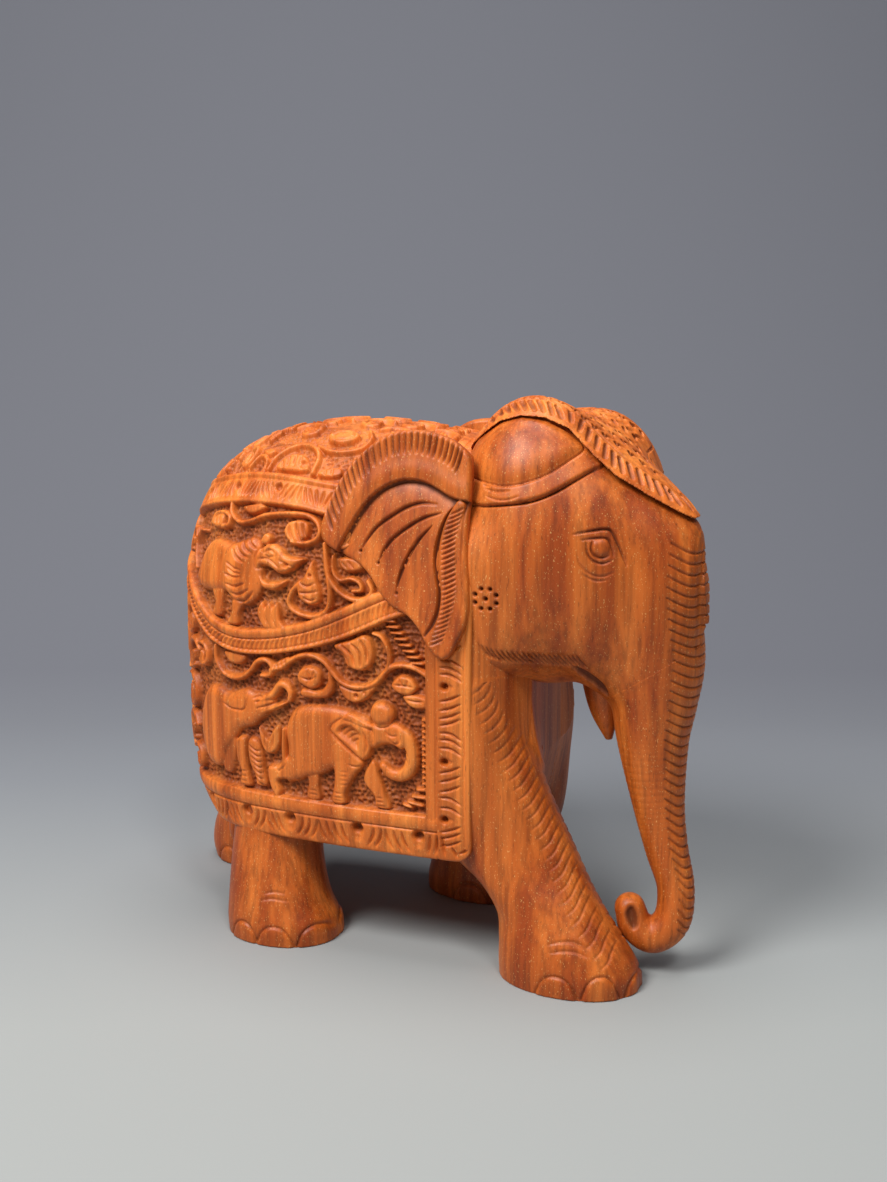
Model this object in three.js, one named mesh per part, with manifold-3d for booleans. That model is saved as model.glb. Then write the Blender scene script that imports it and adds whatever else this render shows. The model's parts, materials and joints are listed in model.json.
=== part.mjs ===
// A carved wooden elephant about 150 mm tall, walking, with a draped saddle cloth and a headdress.
// Millimetres, +Z up, +X the way it walks, +Y its left side. The origin is on the ground under its middle.
// Every form is a skin through rings of different sizes, and neighbours are trimmed to leave a hairline.
import * as THREE from 'three';
import { mergeVertices } from 'three/addons/utils/BufferGeometryUtils.js';
import Module from 'manifold-3d';

const wasm = await Module();
wasm.setup();

// Driving dimensions. Stations run forward from the middle of the right hind foot.
const HEM_HEIGHT = 30;          // lower edge of the saddle cloth above the ground
const CLOTH_THICK = 3;          // saddle cloth
const BELLY_HEIGHT = 27.5;      // underside of the body above the ground
const CLOTH_FRONT = 57.5;       // front edge of the saddle cloth
const HEM_CORNER = 2.5;         // bevel of the cloth's lower front corner
const WIDEST_HEIGHT = 82;       // height at which the body is widest
const HAIRLINE = 0.3;           // gap between neighbouring pieces
const BODY_CLEARANCE = 1;       // between the body and the inside of the cloth
const REAR_END = -29;           // stations behind this one belong to the rounded rump
const EAR_THICK = 3.5;
const EAR_LEAN = 0.17;          // radians, top of each ear towards the middle plane
const EAR_OUT = 35.6;           // inner face of each ear from the middle plane, at the widest height
const HEADDRESS_THICK = 2.2;
const HALF_SPAN = 100;          // half the width of every prism that cuts right across the figure
const WELD = 1e-4;              // corners closer than this are one corner
const END = 1e-6;               // how near its end a place on a curve counts as the end

// Saddle cloth outside: station, lower height, upper height, half width.
const CLOTH_ROWS = [
  [-40.3, 68, 98, 4], [-39.5, 60, 105, 9], [-37.5, 51, 113, 14.5], [-34, 42, 120.5, 19.8],
  [-29.5, 35, 127, 24.5], [-23, 28, 133, 28.8], [-13, 22, 138.5, 32.6], [0, 20, 141.8, 34.6],
  [12, 20, 142.8, 35.4], [28, 20, 142, 35.6], [45, 20, 139.5, 35.2], [60, 20, 136.5, 34.5],
];
// Front of the body, ahead of the cloth: station, lower height, upper height, half width.
const CHEST_ROWS = [[61, 33, 131, 31], [65, 42, 124, 26], [68, 54, 112, 17]];
// Head: station, sideways middle, lower height, upper height, half width. It turns a little to its right.
const HEAD_ROWS = [
  [46, 0, 86, 130, 20], [54, -0.5, 79, 138.5, 27.5], [62, -1.5, 75, 143, 30.5], [70, -3, 74, 144, 30],
  [78, -4, 75, 142.5, 27.5], [86, -5.5, 74, 138, 23.5], [94, -6.5, 77, 131.5, 18.5],
  [102, -7.5, 81, 124.5, 13.5], [107, -8.2, 85.5, 119, 9], [110.8, -8.5, 91, 111, 4],
];
// The two domes on top of the head: station, sideways place, height of the middle, radii.
const DOMES = [[67, -13, 122, 17.5, 15, 25.8], [76.5, 10.5, 120, 17, 15, 23.7]];
// Trunk: station, sideways place, height of its middle, fore-and-aft radius, sideways radius.
const TRUNK_ROWS = [
  [99, -8, 100, 11, 11], [98, -8, 84, 13, 11.8], [98.4, -8.3, 73, 11.2, 10], [98.4, -8.6, 62, 9.3, 8.6],
  [100.5, -9.2, 45, 6.8, 6.9], [103.2, -10, 33, 5.6, 5.9], [106, -10.8, 23.5, 4.9, 5.2],
  [105.6, -12, 14.6, 4.9, 5.2], [101, -13.3, 10.2, 4.8, 5.1], [96.6, -14.3, 12.6, 4.5, 4.8],
  [95, -15, 17.4, 4, 4.3],
];
// Lower lip: height, back, front, half width.
const LIP_ROWS = [[60, 85.2, 87, 1.2], [66, 81.6, 88.4, 3.6], [74, 79, 90, 5.6], [82, 77.6, 92, 6.5]];
// Legs: height, back, front, half width, sideways middle.
const RIGHT_FORELEG_ROWS = [
  [0, 63, 100.4, 13.5, 24.5], [4, 62.8, 100, 13.8, 24.5], [10, 62.8, 96.4, 13.2, 24.4],
  [17, 61.6, 91, 12.2, 23.4], [22, 58, 87.6, 11.8, 22.6], [28, 51, 84, 11.6, 21.4], [33, 46, 81.4, 11.6, 20.8],
  [46, 46, 74.6, 11.8, 20.6], [61, 46, 67.8, 11.8, 20.4], [74, 46, 60, 11.4, 20],
];
const LEFT_FORELEG_ROWS = [
  [0, 22.5, 58.5, 13.5, 24.5], [4, 22.6, 58.4, 13.8, 24.5], [10, 24, 58.6, 13.2, 24.4],
  [18, 27, 61, 12.2, 23.4], [28, 32, 64.6, 11.6, 21.4], [45, 36, 66.8, 11.8, 20.6], [64, 37, 67.2, 11.8, 20.4],
  [78, 40, 62, 11.2, 20],
];
const RIGHT_HIND_LEG_ROWS = [
  [0, -18.2, 14.4, 13.5, 24.5], [4, -18.4, 14, 13.8, 24.5], [10, -18.2, 11, 13, 24.2],
  [20, -18, 8, 12, 22.8], [31, -17.6, 7, 11.4, 21], [44, -17, 8, 11.2, 20],
];
const LEFT_HIND_LEG_ROWS = [
  [0, -51.6, -19, 13.5, 24.5], [4, -52.6, -19.2, 13.8, 24.5], [10, -52, -20, 13, 24],
  [20, -47, -19, 11.8, 22.4], [31, -38, -14, 11, 20], [44, -31, -9, 10.6, 18],
];
// Tail: station, sideways place, height, fore-and-aft radius, sideways radius.
const TAIL_ROWS = [
  [-27, 2.5, 36, 2.4, 2.4], [-32, 4.5, 28, 2.3, 2.3], [-35, 6.6, 20, 2.1, 2.1], [-35.5, 7.4, 14, 2.8, 2.6],
  [-35, 7.8, 8, 1.2, 1.2],
];
// Right ear seen from its side: station and height, from the front of its root over the top and back.
const EAR_OUTLINE = [
  [55.5, 134], [50, 139.8], [40, 142], [29, 138.6], [20.5, 130], [15.4, 118], [16.6, 112.2], [26, 107.4],
  [33, 99.8], [40.5, 95], [46, 88.6], [50.8, 84.6], [54.2, 88.4], [57, 97], [55.8, 112],
];
// Lower edge of the headdress seen from the side, from the nape over each brow to its tip, then back above.
const HEADDRESS_MIDDLE = -2;    // where its two sides meet, with the turn of the head
const HEADDRESS_RIGHT = [
  [44, 131.5], [54, 139.4], [60, 143.8], [66, 145.4], [72, 145], [78, 142.4], [84, 136.6], [90, 131.2],
  [98, 126.2], [108, 120.4], [116, 126], [96, 156], [44, 156],
];
const HEADDRESS_LEFT = [
  [44, 128], [54, 132], [62, 135.6], [70, 139], [76, 140.4], [82, 138.6], [88, 134], [93, 129.8],
  [98, 126.2], [108, 120.4], [116, 126], [96, 156], [44, 156],
];
const HEADDRESS_CROWN = [[44, 118], [88, 124], [88, 156], [44, 156]];
const CROWN_SPAN = [-9, 5];     // the strip over the crown that the headdress covers in full

const LIP_ASIDE = 6.6;          // how far the lower lip sits to the right, with the turn of the head

// Section of each form (2 is round, more is squarer) and how finely it is divided.
const CLOTH_FORM = { widestHeight: WIDEST_HEIGHT, upperPower: 2.5, lowerPower: 7, rings: 16, segments: 32 };
const BODY_FORM = { widestHeight: WIDEST_HEIGHT, upperPower: 2.5, lowerPower: 5, rings: 14, segments: 24 };
const HEAD_FORM = { upperPower: 2.3, lowerPower: 2.3, rings: 16, segments: 28 };
const DOME_FORM = { rings: 12, segments: 20 };
const TRUNK_FORM = { upperPower: 2, lowerPower: 2, rings: 25, segments: 16 };
const LIP_FORM = { upperPower: 2, lowerPower: 2, rings: 5, segments: 12 };
const TAIL_FORM = { upperPower: 2, lowerPower: 2, rings: 10, segments: 10 };
const LEG_FORM = { upperPower: 2.15, lowerPower: 2.15, rings: 12, segments: 24 };
const EAR_CURVE_SEGMENTS = 3;   // straight edges between neighbouring points of an ear's outline

const WOOD = { color: 0xb8622c, roughness: 0.42, metalness: 0 };
// Pieces with a carved ground look darker than the smooth ones.
const TONES = { saddle_cloth: 0xa3511f, headdress: 0xac5825 };

/**
 * A closed solid through rings. ringAt(t), t from 0 to 1, gives a middle, a half axis across, one half axis
 * for each side of it (up and down), and the power of the curve on each side: 2 is round, more is squarer.
 */
function skin(ringAt, ringCount, segments) {
  const geometry = new THREE.CylinderGeometry(1, 1, 1, segments, ringCount - 1);
  const place = geometry.attributes.position;
  const corner = new THREE.Vector3();
  for (let i = 0; i < place.count; i += 1) {
    corner.fromBufferAttribute(place, i);
    const ring = ringAt(0.5 - corner.y);
    const below = corner.z < 0;
    const bend = 2 / (below ? ring.lowerPower : ring.upperPower);
    const across = Math.sign(corner.x) * Math.abs(corner.x) ** bend;
    const along = Math.abs(corner.z) ** bend;
    corner.copy(ring.middle).addScaledVector(ring.across, across);
    corner.addScaledVector(below ? ring.down : ring.up, along);
    place.setXYZ(i, corner.x, corner.y, corner.z);
  }
  return solid(geometry);
}

/** A manifold solid from a closed geometry, with its faces turned outwards. */
function solid(geometry) {
  geometry.deleteAttribute('normal');
  geometry.deleteAttribute('uv');
  const merged = mergeVertices(geometry, WELD);
  const place = merged.attributes.position;
  const corners = Uint32Array.from(merged.index.array);
  const [a, b, c] = [new THREE.Vector3(), new THREE.Vector3(), new THREE.Vector3()];
  let volume = 0;
  for (let i = 0; i < corners.length; i += 3) {
    a.fromBufferAttribute(place, corners[i]);
    b.fromBufferAttribute(place, corners[i + 1]);
    c.fromBufferAttribute(place, corners[i + 2]);
    volume += a.dot(b.cross(c));
  }
  if (volume < 0) corners.reverse();
  const vertProperties = Float32Array.from(place.array);
  return new wasm.Manifold(new wasm.Mesh({ numProp: 3, vertProperties, triVerts: corners }));
}

/** Smooth values between the rows of a table, whose first column is the place along it. */
function readTable(rows) {
  const places = rows.map((row) => row[0]);
  const [low, high] = [Math.min(...places), Math.max(...places)];
  const curve = new THREE.CubicInterpolant(places, rows.flatMap((row) => row.slice(1)), rows[0].length - 1);
  return { low, high, at: (place) => Array.from(curve.evaluate(THREE.MathUtils.clamp(place, low, high))) };
}

/** A form that runs fore and aft: rows of station, sideways middle, lower, upper, half width. Its rings
 * stand closer together near both ends, where it rounds off. */
function lengthwise(rows, grow, style) {
  const table = readTable(rows);
  return skin((t) => {
    const eased = (1 - Math.cos(Math.PI * t)) / 2;
    const station = THREE.MathUtils.lerp(table.low - grow, table.high + grow, eased);
    const [sideways, lower, upper, halfWidth] = table.at(station);
    const widest = style.widestHeight ?? (lower + upper) / 2;
    return {
      middle: new THREE.Vector3(station, sideways, widest),
      across: new THREE.Vector3(0, halfWidth + grow, 0),
      up: new THREE.Vector3(0, 0, upper + grow - widest),
      down: new THREE.Vector3(0, 0, lower - grow - widest),
      upperPower: style.upperPower,
      lowerPower: style.lowerPower,
    };
  }, style.rings, style.segments);
}

/** An upright form: rows of height, back, front, half width, distance out; side is 1 for left. */
function upright(rows, grow, side, style) {
  const table = readTable(rows);
  return skin((t) => {
    const height = THREE.MathUtils.lerp(table.low - grow, table.high + grow, t);
    const [back, front, halfWidth, out] = table.at(height);
    return {
      middle: new THREE.Vector3((back + front) / 2, side * out, height),
      across: new THREE.Vector3((front - back) / 2 + grow, 0, 0),
      up: new THREE.Vector3(0, halfWidth + grow, 0),
      down: new THREE.Vector3(0, -halfWidth - grow, 0),
      upperPower: style.upperPower,
      lowerPower: style.lowerPower,
    };
  }, style.rings, style.segments);
}

/** A form that bends in a curve: rows of station, sideways place, height, fore-and-aft and side radius. */
function bent(rows, grow, style) {
  const path = new THREE.CatmullRomCurve3(rows.map((row) => new THREE.Vector3(row[0], row[1], row[2])));
  const radii = new THREE.CatmullRomCurve3(rows.map((row) => new THREE.Vector3(row[3], row[4], 0)));
  const sideways = new THREE.Vector3(0, 1, 0);
  return skin((t) => {
    const along = path.getTangent(t);
    const fore = new THREE.Vector3().crossVectors(sideways, along).normalize();
    const side = new THREE.Vector3().crossVectors(along, fore);
    const radius = radii.getPoint(t);
    const end = t < END ? -grow : t > 1 - END ? grow : 0;
    return {
      middle: path.getPoint(t).addScaledVector(along, end),
      across: fore.clone().multiplyScalar(radius.x + grow),
      up: side.clone().multiplyScalar(radius.y + grow),
      down: side.clone().multiplyScalar(-radius.y - grow),
      upperPower: style.upperPower,
      lowerPower: style.lowerPower,
    };
  }, style.rings, style.segments);
}

/** A prism with an outline given as station and height, across the whole width or between two places. */
function sidePrism(outline, from, to, smooth) {
  const points = outline.map(([x, z]) => new THREE.Vector2(x, z));
  const shape = new THREE.Shape();
  if (smooth) {
    shape.moveTo(points[0].x, points[0].y);
    shape.splineThru([...points.slice(1), points[0]]);
  } else {
    shape.setFromPoints(points);
  }
  const settings = { depth: to - from, bevelEnabled: false, curveSegments: EAR_CURVE_SEGMENTS };
  const geometry = new THREE.ExtrudeGeometry(shape, settings);
  geometry.rotateX(Math.PI / 2);
  geometry.translate(0, to, 0);
  return geometry;
}

/** Outside of the saddle cloth, or of any layer a given distance out from it. */
function clothSkin(grow) {
  const rows = CLOTH_ROWS.map(([station, ...section]) => [station, 0, ...section]);
  return lengthwise(rows, grow, CLOTH_FORM);
}

/** The saddle cloth: a shell over the back, the rump and the sides, open in front and below. */
function makeSaddleCloth(grow) {
  const [low, front] = [HEM_HEIGHT - grow, CLOTH_FRONT + grow];
  const outline = [
    [-HALF_SPAN, low], [front - HEM_CORNER, low], [front, low + HEM_CORNER], [front, 2 * HALF_SPAN],
    [-HALF_SPAN, 2 * HALF_SPAN],
  ];
  const shell = clothSkin(grow).subtract(clothSkin(-CLOTH_THICK - grow));
  return shell.intersect(solid(sidePrism(outline, -HALF_SPAN, HALF_SPAN, false)));
}

/** The body inside the cloth, running on into the chest. */
function makeBody(grow) {
  const inset = CLOTH_THICK + BODY_CLEARANCE;
  const rows = CLOTH_ROWS.slice(0, -1).map(([station, lower, upper, halfWidth]) => {
    const inside = station < REAR_END ? station + inset : station;
    return [inside, 0, Math.max(lower + inset, BELLY_HEIGHT), upper - inset, halfWidth - inset];
  });
  const chest = CHEST_ROWS.map(([station, ...section]) => [station, 0, ...section]);
  return lengthwise([...rows, ...chest], grow, BODY_FORM);
}

function makeHead(grow) {
  let head = lengthwise(HEAD_ROWS, grow, HEAD_FORM);
  for (const [station, sideways, height, fore, side, up] of DOMES) {
    const dome = new THREE.SphereGeometry(1, DOME_FORM.segments, DOME_FORM.rings);
    dome.scale(fore + grow, side + grow, up + grow);
    dome.translate(station, sideways, height);
    head = head.add(solid(dome));
  }
  return head;
}

/** The headdress: a layer over the top of the head that ends in a tip on the forehead. */
function makeHeaddress(grow) {
  const prism = solid(sidePrism(HEADDRESS_RIGHT, -HALF_SPAN, HEADDRESS_MIDDLE, false))
    .add(solid(sidePrism(HEADDRESS_LEFT, HEADDRESS_MIDDLE - 0.1, HALF_SPAN, false)))
    .add(solid(sidePrism(HEADDRESS_CROWN, ...CROWN_SPAN, false)));
  const layer = makeHead(HEADDRESS_THICK + grow).subtract(makeHead(HAIRLINE - grow));
  return layer.intersect(prism);
}

function makeTrunk(grow) {
  return bent(TRUNK_ROWS, grow, TRUNK_FORM);
}

function makeLip(grow) {
  return upright(LIP_ROWS.map((row) => [...row, LIP_ASIDE]), grow, -1, LIP_FORM);
}

function makeTail(grow) {
  return bent(TAIL_ROWS, grow, TAIL_FORM);
}

function makeLeg(rows, side, grow) {
  return upright(rows, grow, side, LEG_FORM);
}

/** One ear, leaning in at the top; side is 1 for the left one. */
function makeEar(side, grow) {
  const geometry = sidePrism(EAR_OUTLINE, -grow, EAR_THICK + grow, true);
  geometry.translate(0, 0, -WIDEST_HEIGHT);
  geometry.rotateX(EAR_LEAN);
  geometry.translate(0, EAR_OUT, WIDEST_HEIGHT);
  if (side < 0) geometry.scale(1, -1, 1);
  return solid(geometry);
}

/** The largest body of a trimmed piece, without the crumbs that a cut can leave. */
function withoutCrumbs(piece) {
  return piece.decompose().sort((a, b) => b.volume() - a.volume())[0];
}

/** A named mesh in its own material from a manifold solid. */
function meshOf(name, piece, tone) {
  const { vertProperties, triVerts } = piece.getMesh();
  const geometry = new THREE.BufferGeometry();
  geometry.setAttribute('position', new THREE.BufferAttribute(vertProperties, 3));
  geometry.setIndex(new THREE.BufferAttribute(triVerts, 1));
  geometry.computeVertexNormals();
  const material = new THREE.MeshStandardMaterial({ ...WOOD, color: tone });
  const mesh = new THREE.Mesh(geometry, material);
  mesh.name = name;
  return mesh;
}

/** Every piece as a solid that can be made bigger all round, in the order in which they trim each other. */
const pieces = {
  right_foreleg: (grow) => makeLeg(RIGHT_FORELEG_ROWS, -1, grow),
  left_foreleg: (grow) => makeLeg(LEFT_FORELEG_ROWS, 1, grow),
  right_hind_leg: (grow) => makeLeg(RIGHT_HIND_LEG_ROWS, -1, grow),
  left_hind_leg: (grow) => makeLeg(LEFT_HIND_LEG_ROWS, 1, grow),
  saddle_cloth: makeSaddleCloth,
  head: makeHead,
  headdress: makeHeaddress,
  body: makeBody,
  trunk: makeTrunk,
  lower_lip: makeLip,
  right_ear: (grow) => makeEar(-1, grow),
  left_ear: (grow) => makeEar(1, grow),
  tail: makeTail,
};

const figure = new THREE.Group();
const cutters = [];
for (const [name, make] of Object.entries(pieces)) {
  let piece = make(0);
  for (const cutter of cutters) piece = piece.subtract(cutter);
  cutters.push(make(HAIRLINE));
  figure.add(meshOf(name, withoutCrumbs(piece), TONES[name] ?? WOOD.color));
}

// The origin goes on the ground under the middle of the whole figure.
const middle = new THREE.Box3().setFromObject(figure).getCenter(new THREE.Vector3());
figure.position.set(-middle.x, -middle.y, 0);
figure.updateMatrixWorld(true);

export default figure;
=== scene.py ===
"""A carved wooden elephant: smooth carved forms from blended fields, with a saddle cloth, ears and lines cut
in relief.

Lengths in the modelling functions are millimetres in the part's own stations: X forward from the middle of
the right hind foot, Y to the figure's left, Z up from the ground. to_frame() turns them into the metres of
the shared frame. Reliefs are drawn flat: as (u, q) on the cloth's sheet, as (X, Z) on the other pieces."""
import json
import math

import bpy
import numpy as np
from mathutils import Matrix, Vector

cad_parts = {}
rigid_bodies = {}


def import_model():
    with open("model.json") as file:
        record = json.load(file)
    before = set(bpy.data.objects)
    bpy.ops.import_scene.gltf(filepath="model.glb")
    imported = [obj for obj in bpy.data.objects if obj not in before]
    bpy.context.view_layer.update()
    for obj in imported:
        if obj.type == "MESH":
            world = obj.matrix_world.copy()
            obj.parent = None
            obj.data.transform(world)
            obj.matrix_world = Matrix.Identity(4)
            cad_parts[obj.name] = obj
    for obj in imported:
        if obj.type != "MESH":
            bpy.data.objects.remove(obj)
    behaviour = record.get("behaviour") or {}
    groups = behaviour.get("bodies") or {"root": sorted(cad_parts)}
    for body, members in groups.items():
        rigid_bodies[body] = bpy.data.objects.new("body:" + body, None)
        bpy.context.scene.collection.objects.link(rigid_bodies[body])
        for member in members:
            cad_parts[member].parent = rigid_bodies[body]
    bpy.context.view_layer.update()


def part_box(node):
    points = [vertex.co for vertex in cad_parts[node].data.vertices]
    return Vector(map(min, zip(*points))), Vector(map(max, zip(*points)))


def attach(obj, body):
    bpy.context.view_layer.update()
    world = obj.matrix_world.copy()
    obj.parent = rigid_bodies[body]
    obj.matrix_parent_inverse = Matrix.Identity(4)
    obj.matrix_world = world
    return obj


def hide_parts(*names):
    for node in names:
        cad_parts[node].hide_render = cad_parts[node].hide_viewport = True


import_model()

# ---------------------------------------------------------------- driving dimensions, as in the CAD model
HEM_HEIGHT = 30.0
CLOTH_THICK = 3.0
CLOTH_FRONT = 57.5
BELLY_HEIGHT = 27.5
WIDEST_HEIGHT = 82.0
EAR_THICK = 3.5
EAR_LEAN = 0.17
EAR_OUT = 35.6
STATION_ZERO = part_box("saddle_cloth")[1][0] * 1000 - CLOTH_FRONT

# How square the sections are, where 2 is an ellipse.
BACK_POWER, BELLY_POWER, HEM_POWER = 2.5, 5, 7
HEAD_POWER, CHEEK_POWER, LEG_POWER, LIP_POWER = 2.3, 4, 2.15, 2

# Cloth and chest: station, lower, upper, half width.
CLOTH_ROWS = [
    (-40.3, 68, 98, 4), (-39.5, 60, 105, 9), (-37.5, 51, 113, 14.5), (-34, 42, 120.5, 19.8),
    (-29.5, 35, 127, 24.5), (-23, 28, 133, 28.8), (-13, 22, 138.5, 32.6), (0, 20, 141.8, 34.6),
    (12, 20, 142.8, 35.4), (28, 20, 142, 35.6), (45, 20, 139.5, 35.2), (60, 20, 136.5, 34.5),
]
CHEST_ROWS = [(61, 33, 131, 31), (65, 42, 124, 26), (68, 54, 112, 17)]
# Head and cheeks: station, middle, lower, upper, half width.
HEAD_ROWS = [
    (46, 0, 86, 130, 20), (54, -0.5, 79, 138.5, 27.5), (62, -1.5, 75, 143, 30.5),
    (70, -3, 74, 144, 30), (78, -4, 75, 142.5, 27.5), (86, -5.5, 74, 138, 23.5),
    (94, -6.5, 77, 131.5, 18.5), (102, -7.6, 81, 125, 13.5), (107, -8.6, 85.5, 120.4, 8.8),
    (109, -9, 88.6, 117.6, 6.1), (109.9, -9.2, 91.6, 114.8, 3.6), (110.2, -9.3, 95.5, 111.5, 1.4),
]
CHEEK_ROWS = [
    (47, 0, 80, 126, 30), (53, 0, 77, 130, 32.6), (58, 0, 76, 132, 33.4), (62, -0.3, 76, 133, 32.9),
    (66, -0.8, 77, 133, 31.2), (70, -1.6, 79, 132, 28.5),
]
# Domes: station, place to the left, height, and the radii fore, aside and up.
DOMES = [
    (67, -13, 122, 17.5, 15, 25.8), (76.5, 10.5, 120, 17, 15, 23.7),
]
# Trunk and, below, the tail: station, place to the left, height, radius.
TRUNK_ROWS = [
    (98.4, -8.4, 100, 10.8), (98, -8, 84, 13), (98.4, -8.3, 73, 11.2), (98.4, -8.6, 62, 9.3),
    (100.5, -9.2, 45, 6.8), (103.2, -10, 33, 5.6), (106, -10.8, 23.5, 4.9), (105.6, -12, 14.6, 4.9),
    (101, -13.3, 10.2, 4.8), (96.6, -14.3, 12.6, 4.5), (95, -15, 17.4, 4),
]
# Lip and legs: height, back, front, half width, distance out from the middle.
LIP_ROWS = [
    (60, 85.2, 87, 1.2, 6.6), (66, 81.6, 88.4, 3.6, 6.6), (74, 79, 90, 5.6, 6.6),
    (82, 77.6, 92, 6.5, 6.6),
]
LEG_ROWS = {
    "right_foreleg": [
        (0, 63, 100.4, 13.5, 24.5), (4, 62.8, 100, 13.8, 24.5), (10, 62.8, 96.4, 13.2, 24.4),
        (17, 61.6, 91, 12.2, 23.4), (22, 58, 87.6, 11.8, 22.6), (28, 51, 84, 11.6, 21.4),
        (33, 46, 81.4, 11.6, 20.8), (46, 46, 74.6, 11.8, 20.6), (61, 46, 67.8, 11.8, 20.4),
        (74, 46, 60, 11.4, 20),
    ],
    "left_foreleg": [
        (0, 22.5, 58.5, 13.5, 24.5), (4, 22.6, 58.4, 13.8, 24.5), (10, 24, 58.6, 13.2, 24.4),
        (18, 27, 61, 12.2, 23.4), (28, 32, 64.6, 11.6, 21.4), (45, 36, 66.8, 11.8, 20.6),
        (64, 37, 67.2, 11.8, 20.4), (78, 40, 62, 11.2, 20),
    ],
    "right_hind_leg": [
        (0, -18.2, 14.4, 13.5, 24.5), (4, -18.4, 14, 13.8, 24.5), (10, -18.2, 11, 13, 24.2),
        (20, -18, 8, 12, 22.8), (31, -17.6, 7, 11.4, 21), (44, -17, 8, 11.2, 20),
    ],
    "left_hind_leg": [
        (0, -51.6, -19, 13.5, 24.5), (4, -52.6, -19.2, 13.8, 24.5), (10, -52, -20, 13, 24),
        (20, -47, -19, 11.8, 22.4), (31, -38, -14, 11, 20), (44, -31, -9, 10.6, 18),
    ],
}
TAIL_ROWS = [
    (-27, 2.5, 36, 2.4), (-32, 4.5, 28, 2.3), (-35, 6.6, 20, 2.1), (-35.5, 7.4, 14, 2.8),
    (-35, 7.8, 8, 1.2),
]


def to_frame(points):
    """Stations in millimetres to the shared frame in metres."""
    moved = np.array(points, dtype=np.float64)
    moved[:, 0] += STATION_ZERO
    return moved / 1000


# ---------------------------------------------------------------- fields: distance in mm, negative inside
def smooth_table(rows, step=0.25):
    """A table read smoothly: its places, and one dense column for each value, by Hermite curves."""
    rows = np.array(rows, dtype=float)
    places, values = rows[:, 0], rows[:, 1:]
    slopes = np.gradient(values, places, axis=0)
    dense = np.arange(places[0], places[-1] + step, step).clip(None, places[-1])
    span = np.clip(np.searchsorted(places, dense, side="right") - 1, 0, len(places) - 2)
    width = (places[span + 1] - places[span])[:, None]
    t = ((dense - places[span])[:, None]) / width
    blend = (
        (2 * t**3 - 3 * t**2 + 1) * values[span] + (t**3 - 2 * t**2 + t) * width * slopes[span]
        + (3 * t**2 - 2 * t**3) * values[span + 1] + (t**3 - t**2) * width * slopes[span + 1]
    )
    return dense, blend


def read(table, places):
    """The values of a smooth table at any places."""
    dense, columns = table
    return [np.interp(places, dense, column) for column in columns.T]


def section(across, along, half_across, half_along, power):
    """Distance to a rounded section, measured along the ray from its middle."""
    radius = np.sqrt(across**2 + along**2) + 1e-9
    reach = (np.abs(across / half_across) ** power + np.abs(along / half_along) ** power) ** (1 / power)
    return radius - radius / np.maximum(reach, 1e-9)


def lengthwise(rows, upper_power, lower_power, widest=None):
    """A form that runs fore and aft: rows of station, middle, lower, upper, half width."""
    table = smooth_table(rows)
    low, high = rows[0][0], rows[-1][0]

    def field(p):
        middle, lower, upper, half = read(table, p[:, 0])
        waist = (lower + upper) / 2 if widest is None else widest
        above = p[:, 2] > waist
        half = np.maximum(half, 0.05)
        half_along = np.maximum(np.where(above, upper - waist, waist - lower), 0.05)
        power = np.where(above, upper_power, lower_power)
        side = section(p[:, 1] - middle, p[:, 2] - waist, half, half_along, power)
        return np.maximum(side, np.maximum(low - p[:, 0], p[:, 0] - high))
    return field


def upright(rows, side, power=LEG_POWER):
    """An upright form: rows of height, back, front, half width, distance out; side is 1 for left."""
    table = smooth_table(rows)
    low, high = rows[0][0], rows[-1][0]

    def field(p):
        back, front, half, out = read(table, p[:, 2])
        round_about = section(p[:, 0] - (back + front) / 2, p[:, 1] - side * out,
                              (front - back) / 2, half, power)
        return np.maximum(round_about, np.maximum(low - p[:, 2], p[:, 2] - high))
    return field


def bent(rows, pieces=90):
    """A round form along a smooth curve: rows of station, sideways place, height, radius."""
    count = len(rows) - 1
    table = smooth_table([(i, *row) for i, row in enumerate(rows)], step=count / pieces)[1]

    def field(p):
        nearest = np.full(len(p), 1e9)
        for start, end in zip(table[:-1], table[1:]):
            run = end[:3] - start[:3]
            length = run @ run
            if length < 1e-12:
                continue
            along = np.clip((p - start[:3]) @ run / length, 0, 1)
            gap = p - start[:3] - along[:, None] * run
            radius = start[3] + along * (end[3] - start[3])
            nearest = np.minimum(nearest, np.sqrt((gap**2).sum(1)) - radius)
        return nearest
    return field


def ellipsoid(station, sideways, height, fore, side, up):
    """An egg with its middle and its three radii."""
    middle, radii = np.array([station, sideways, height]), np.array([fore, side, up])

    def field(p):
        scaled = (p - middle) / radii
        reach = np.sqrt((scaled**2).sum(1)) + 1e-9
        radius = np.sqrt(((p - middle) ** 2).sum(1))
        return radius - radius / reach
    return field


def blend(a, b, width):
    """The union of two fields with a fillet of about the given width."""
    near = np.maximum(width - np.abs(a - b), 0) / width
    return np.minimum(a, b) - near**2 * width / 4


# ---------------------------------------------------------------- closed meshes from fields
ROUGH = 4           # fine steps in a step of the rough grid that finds the surface
NEAR = 1.6          # rough steps from the surface within which the fine grid is worked out


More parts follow.
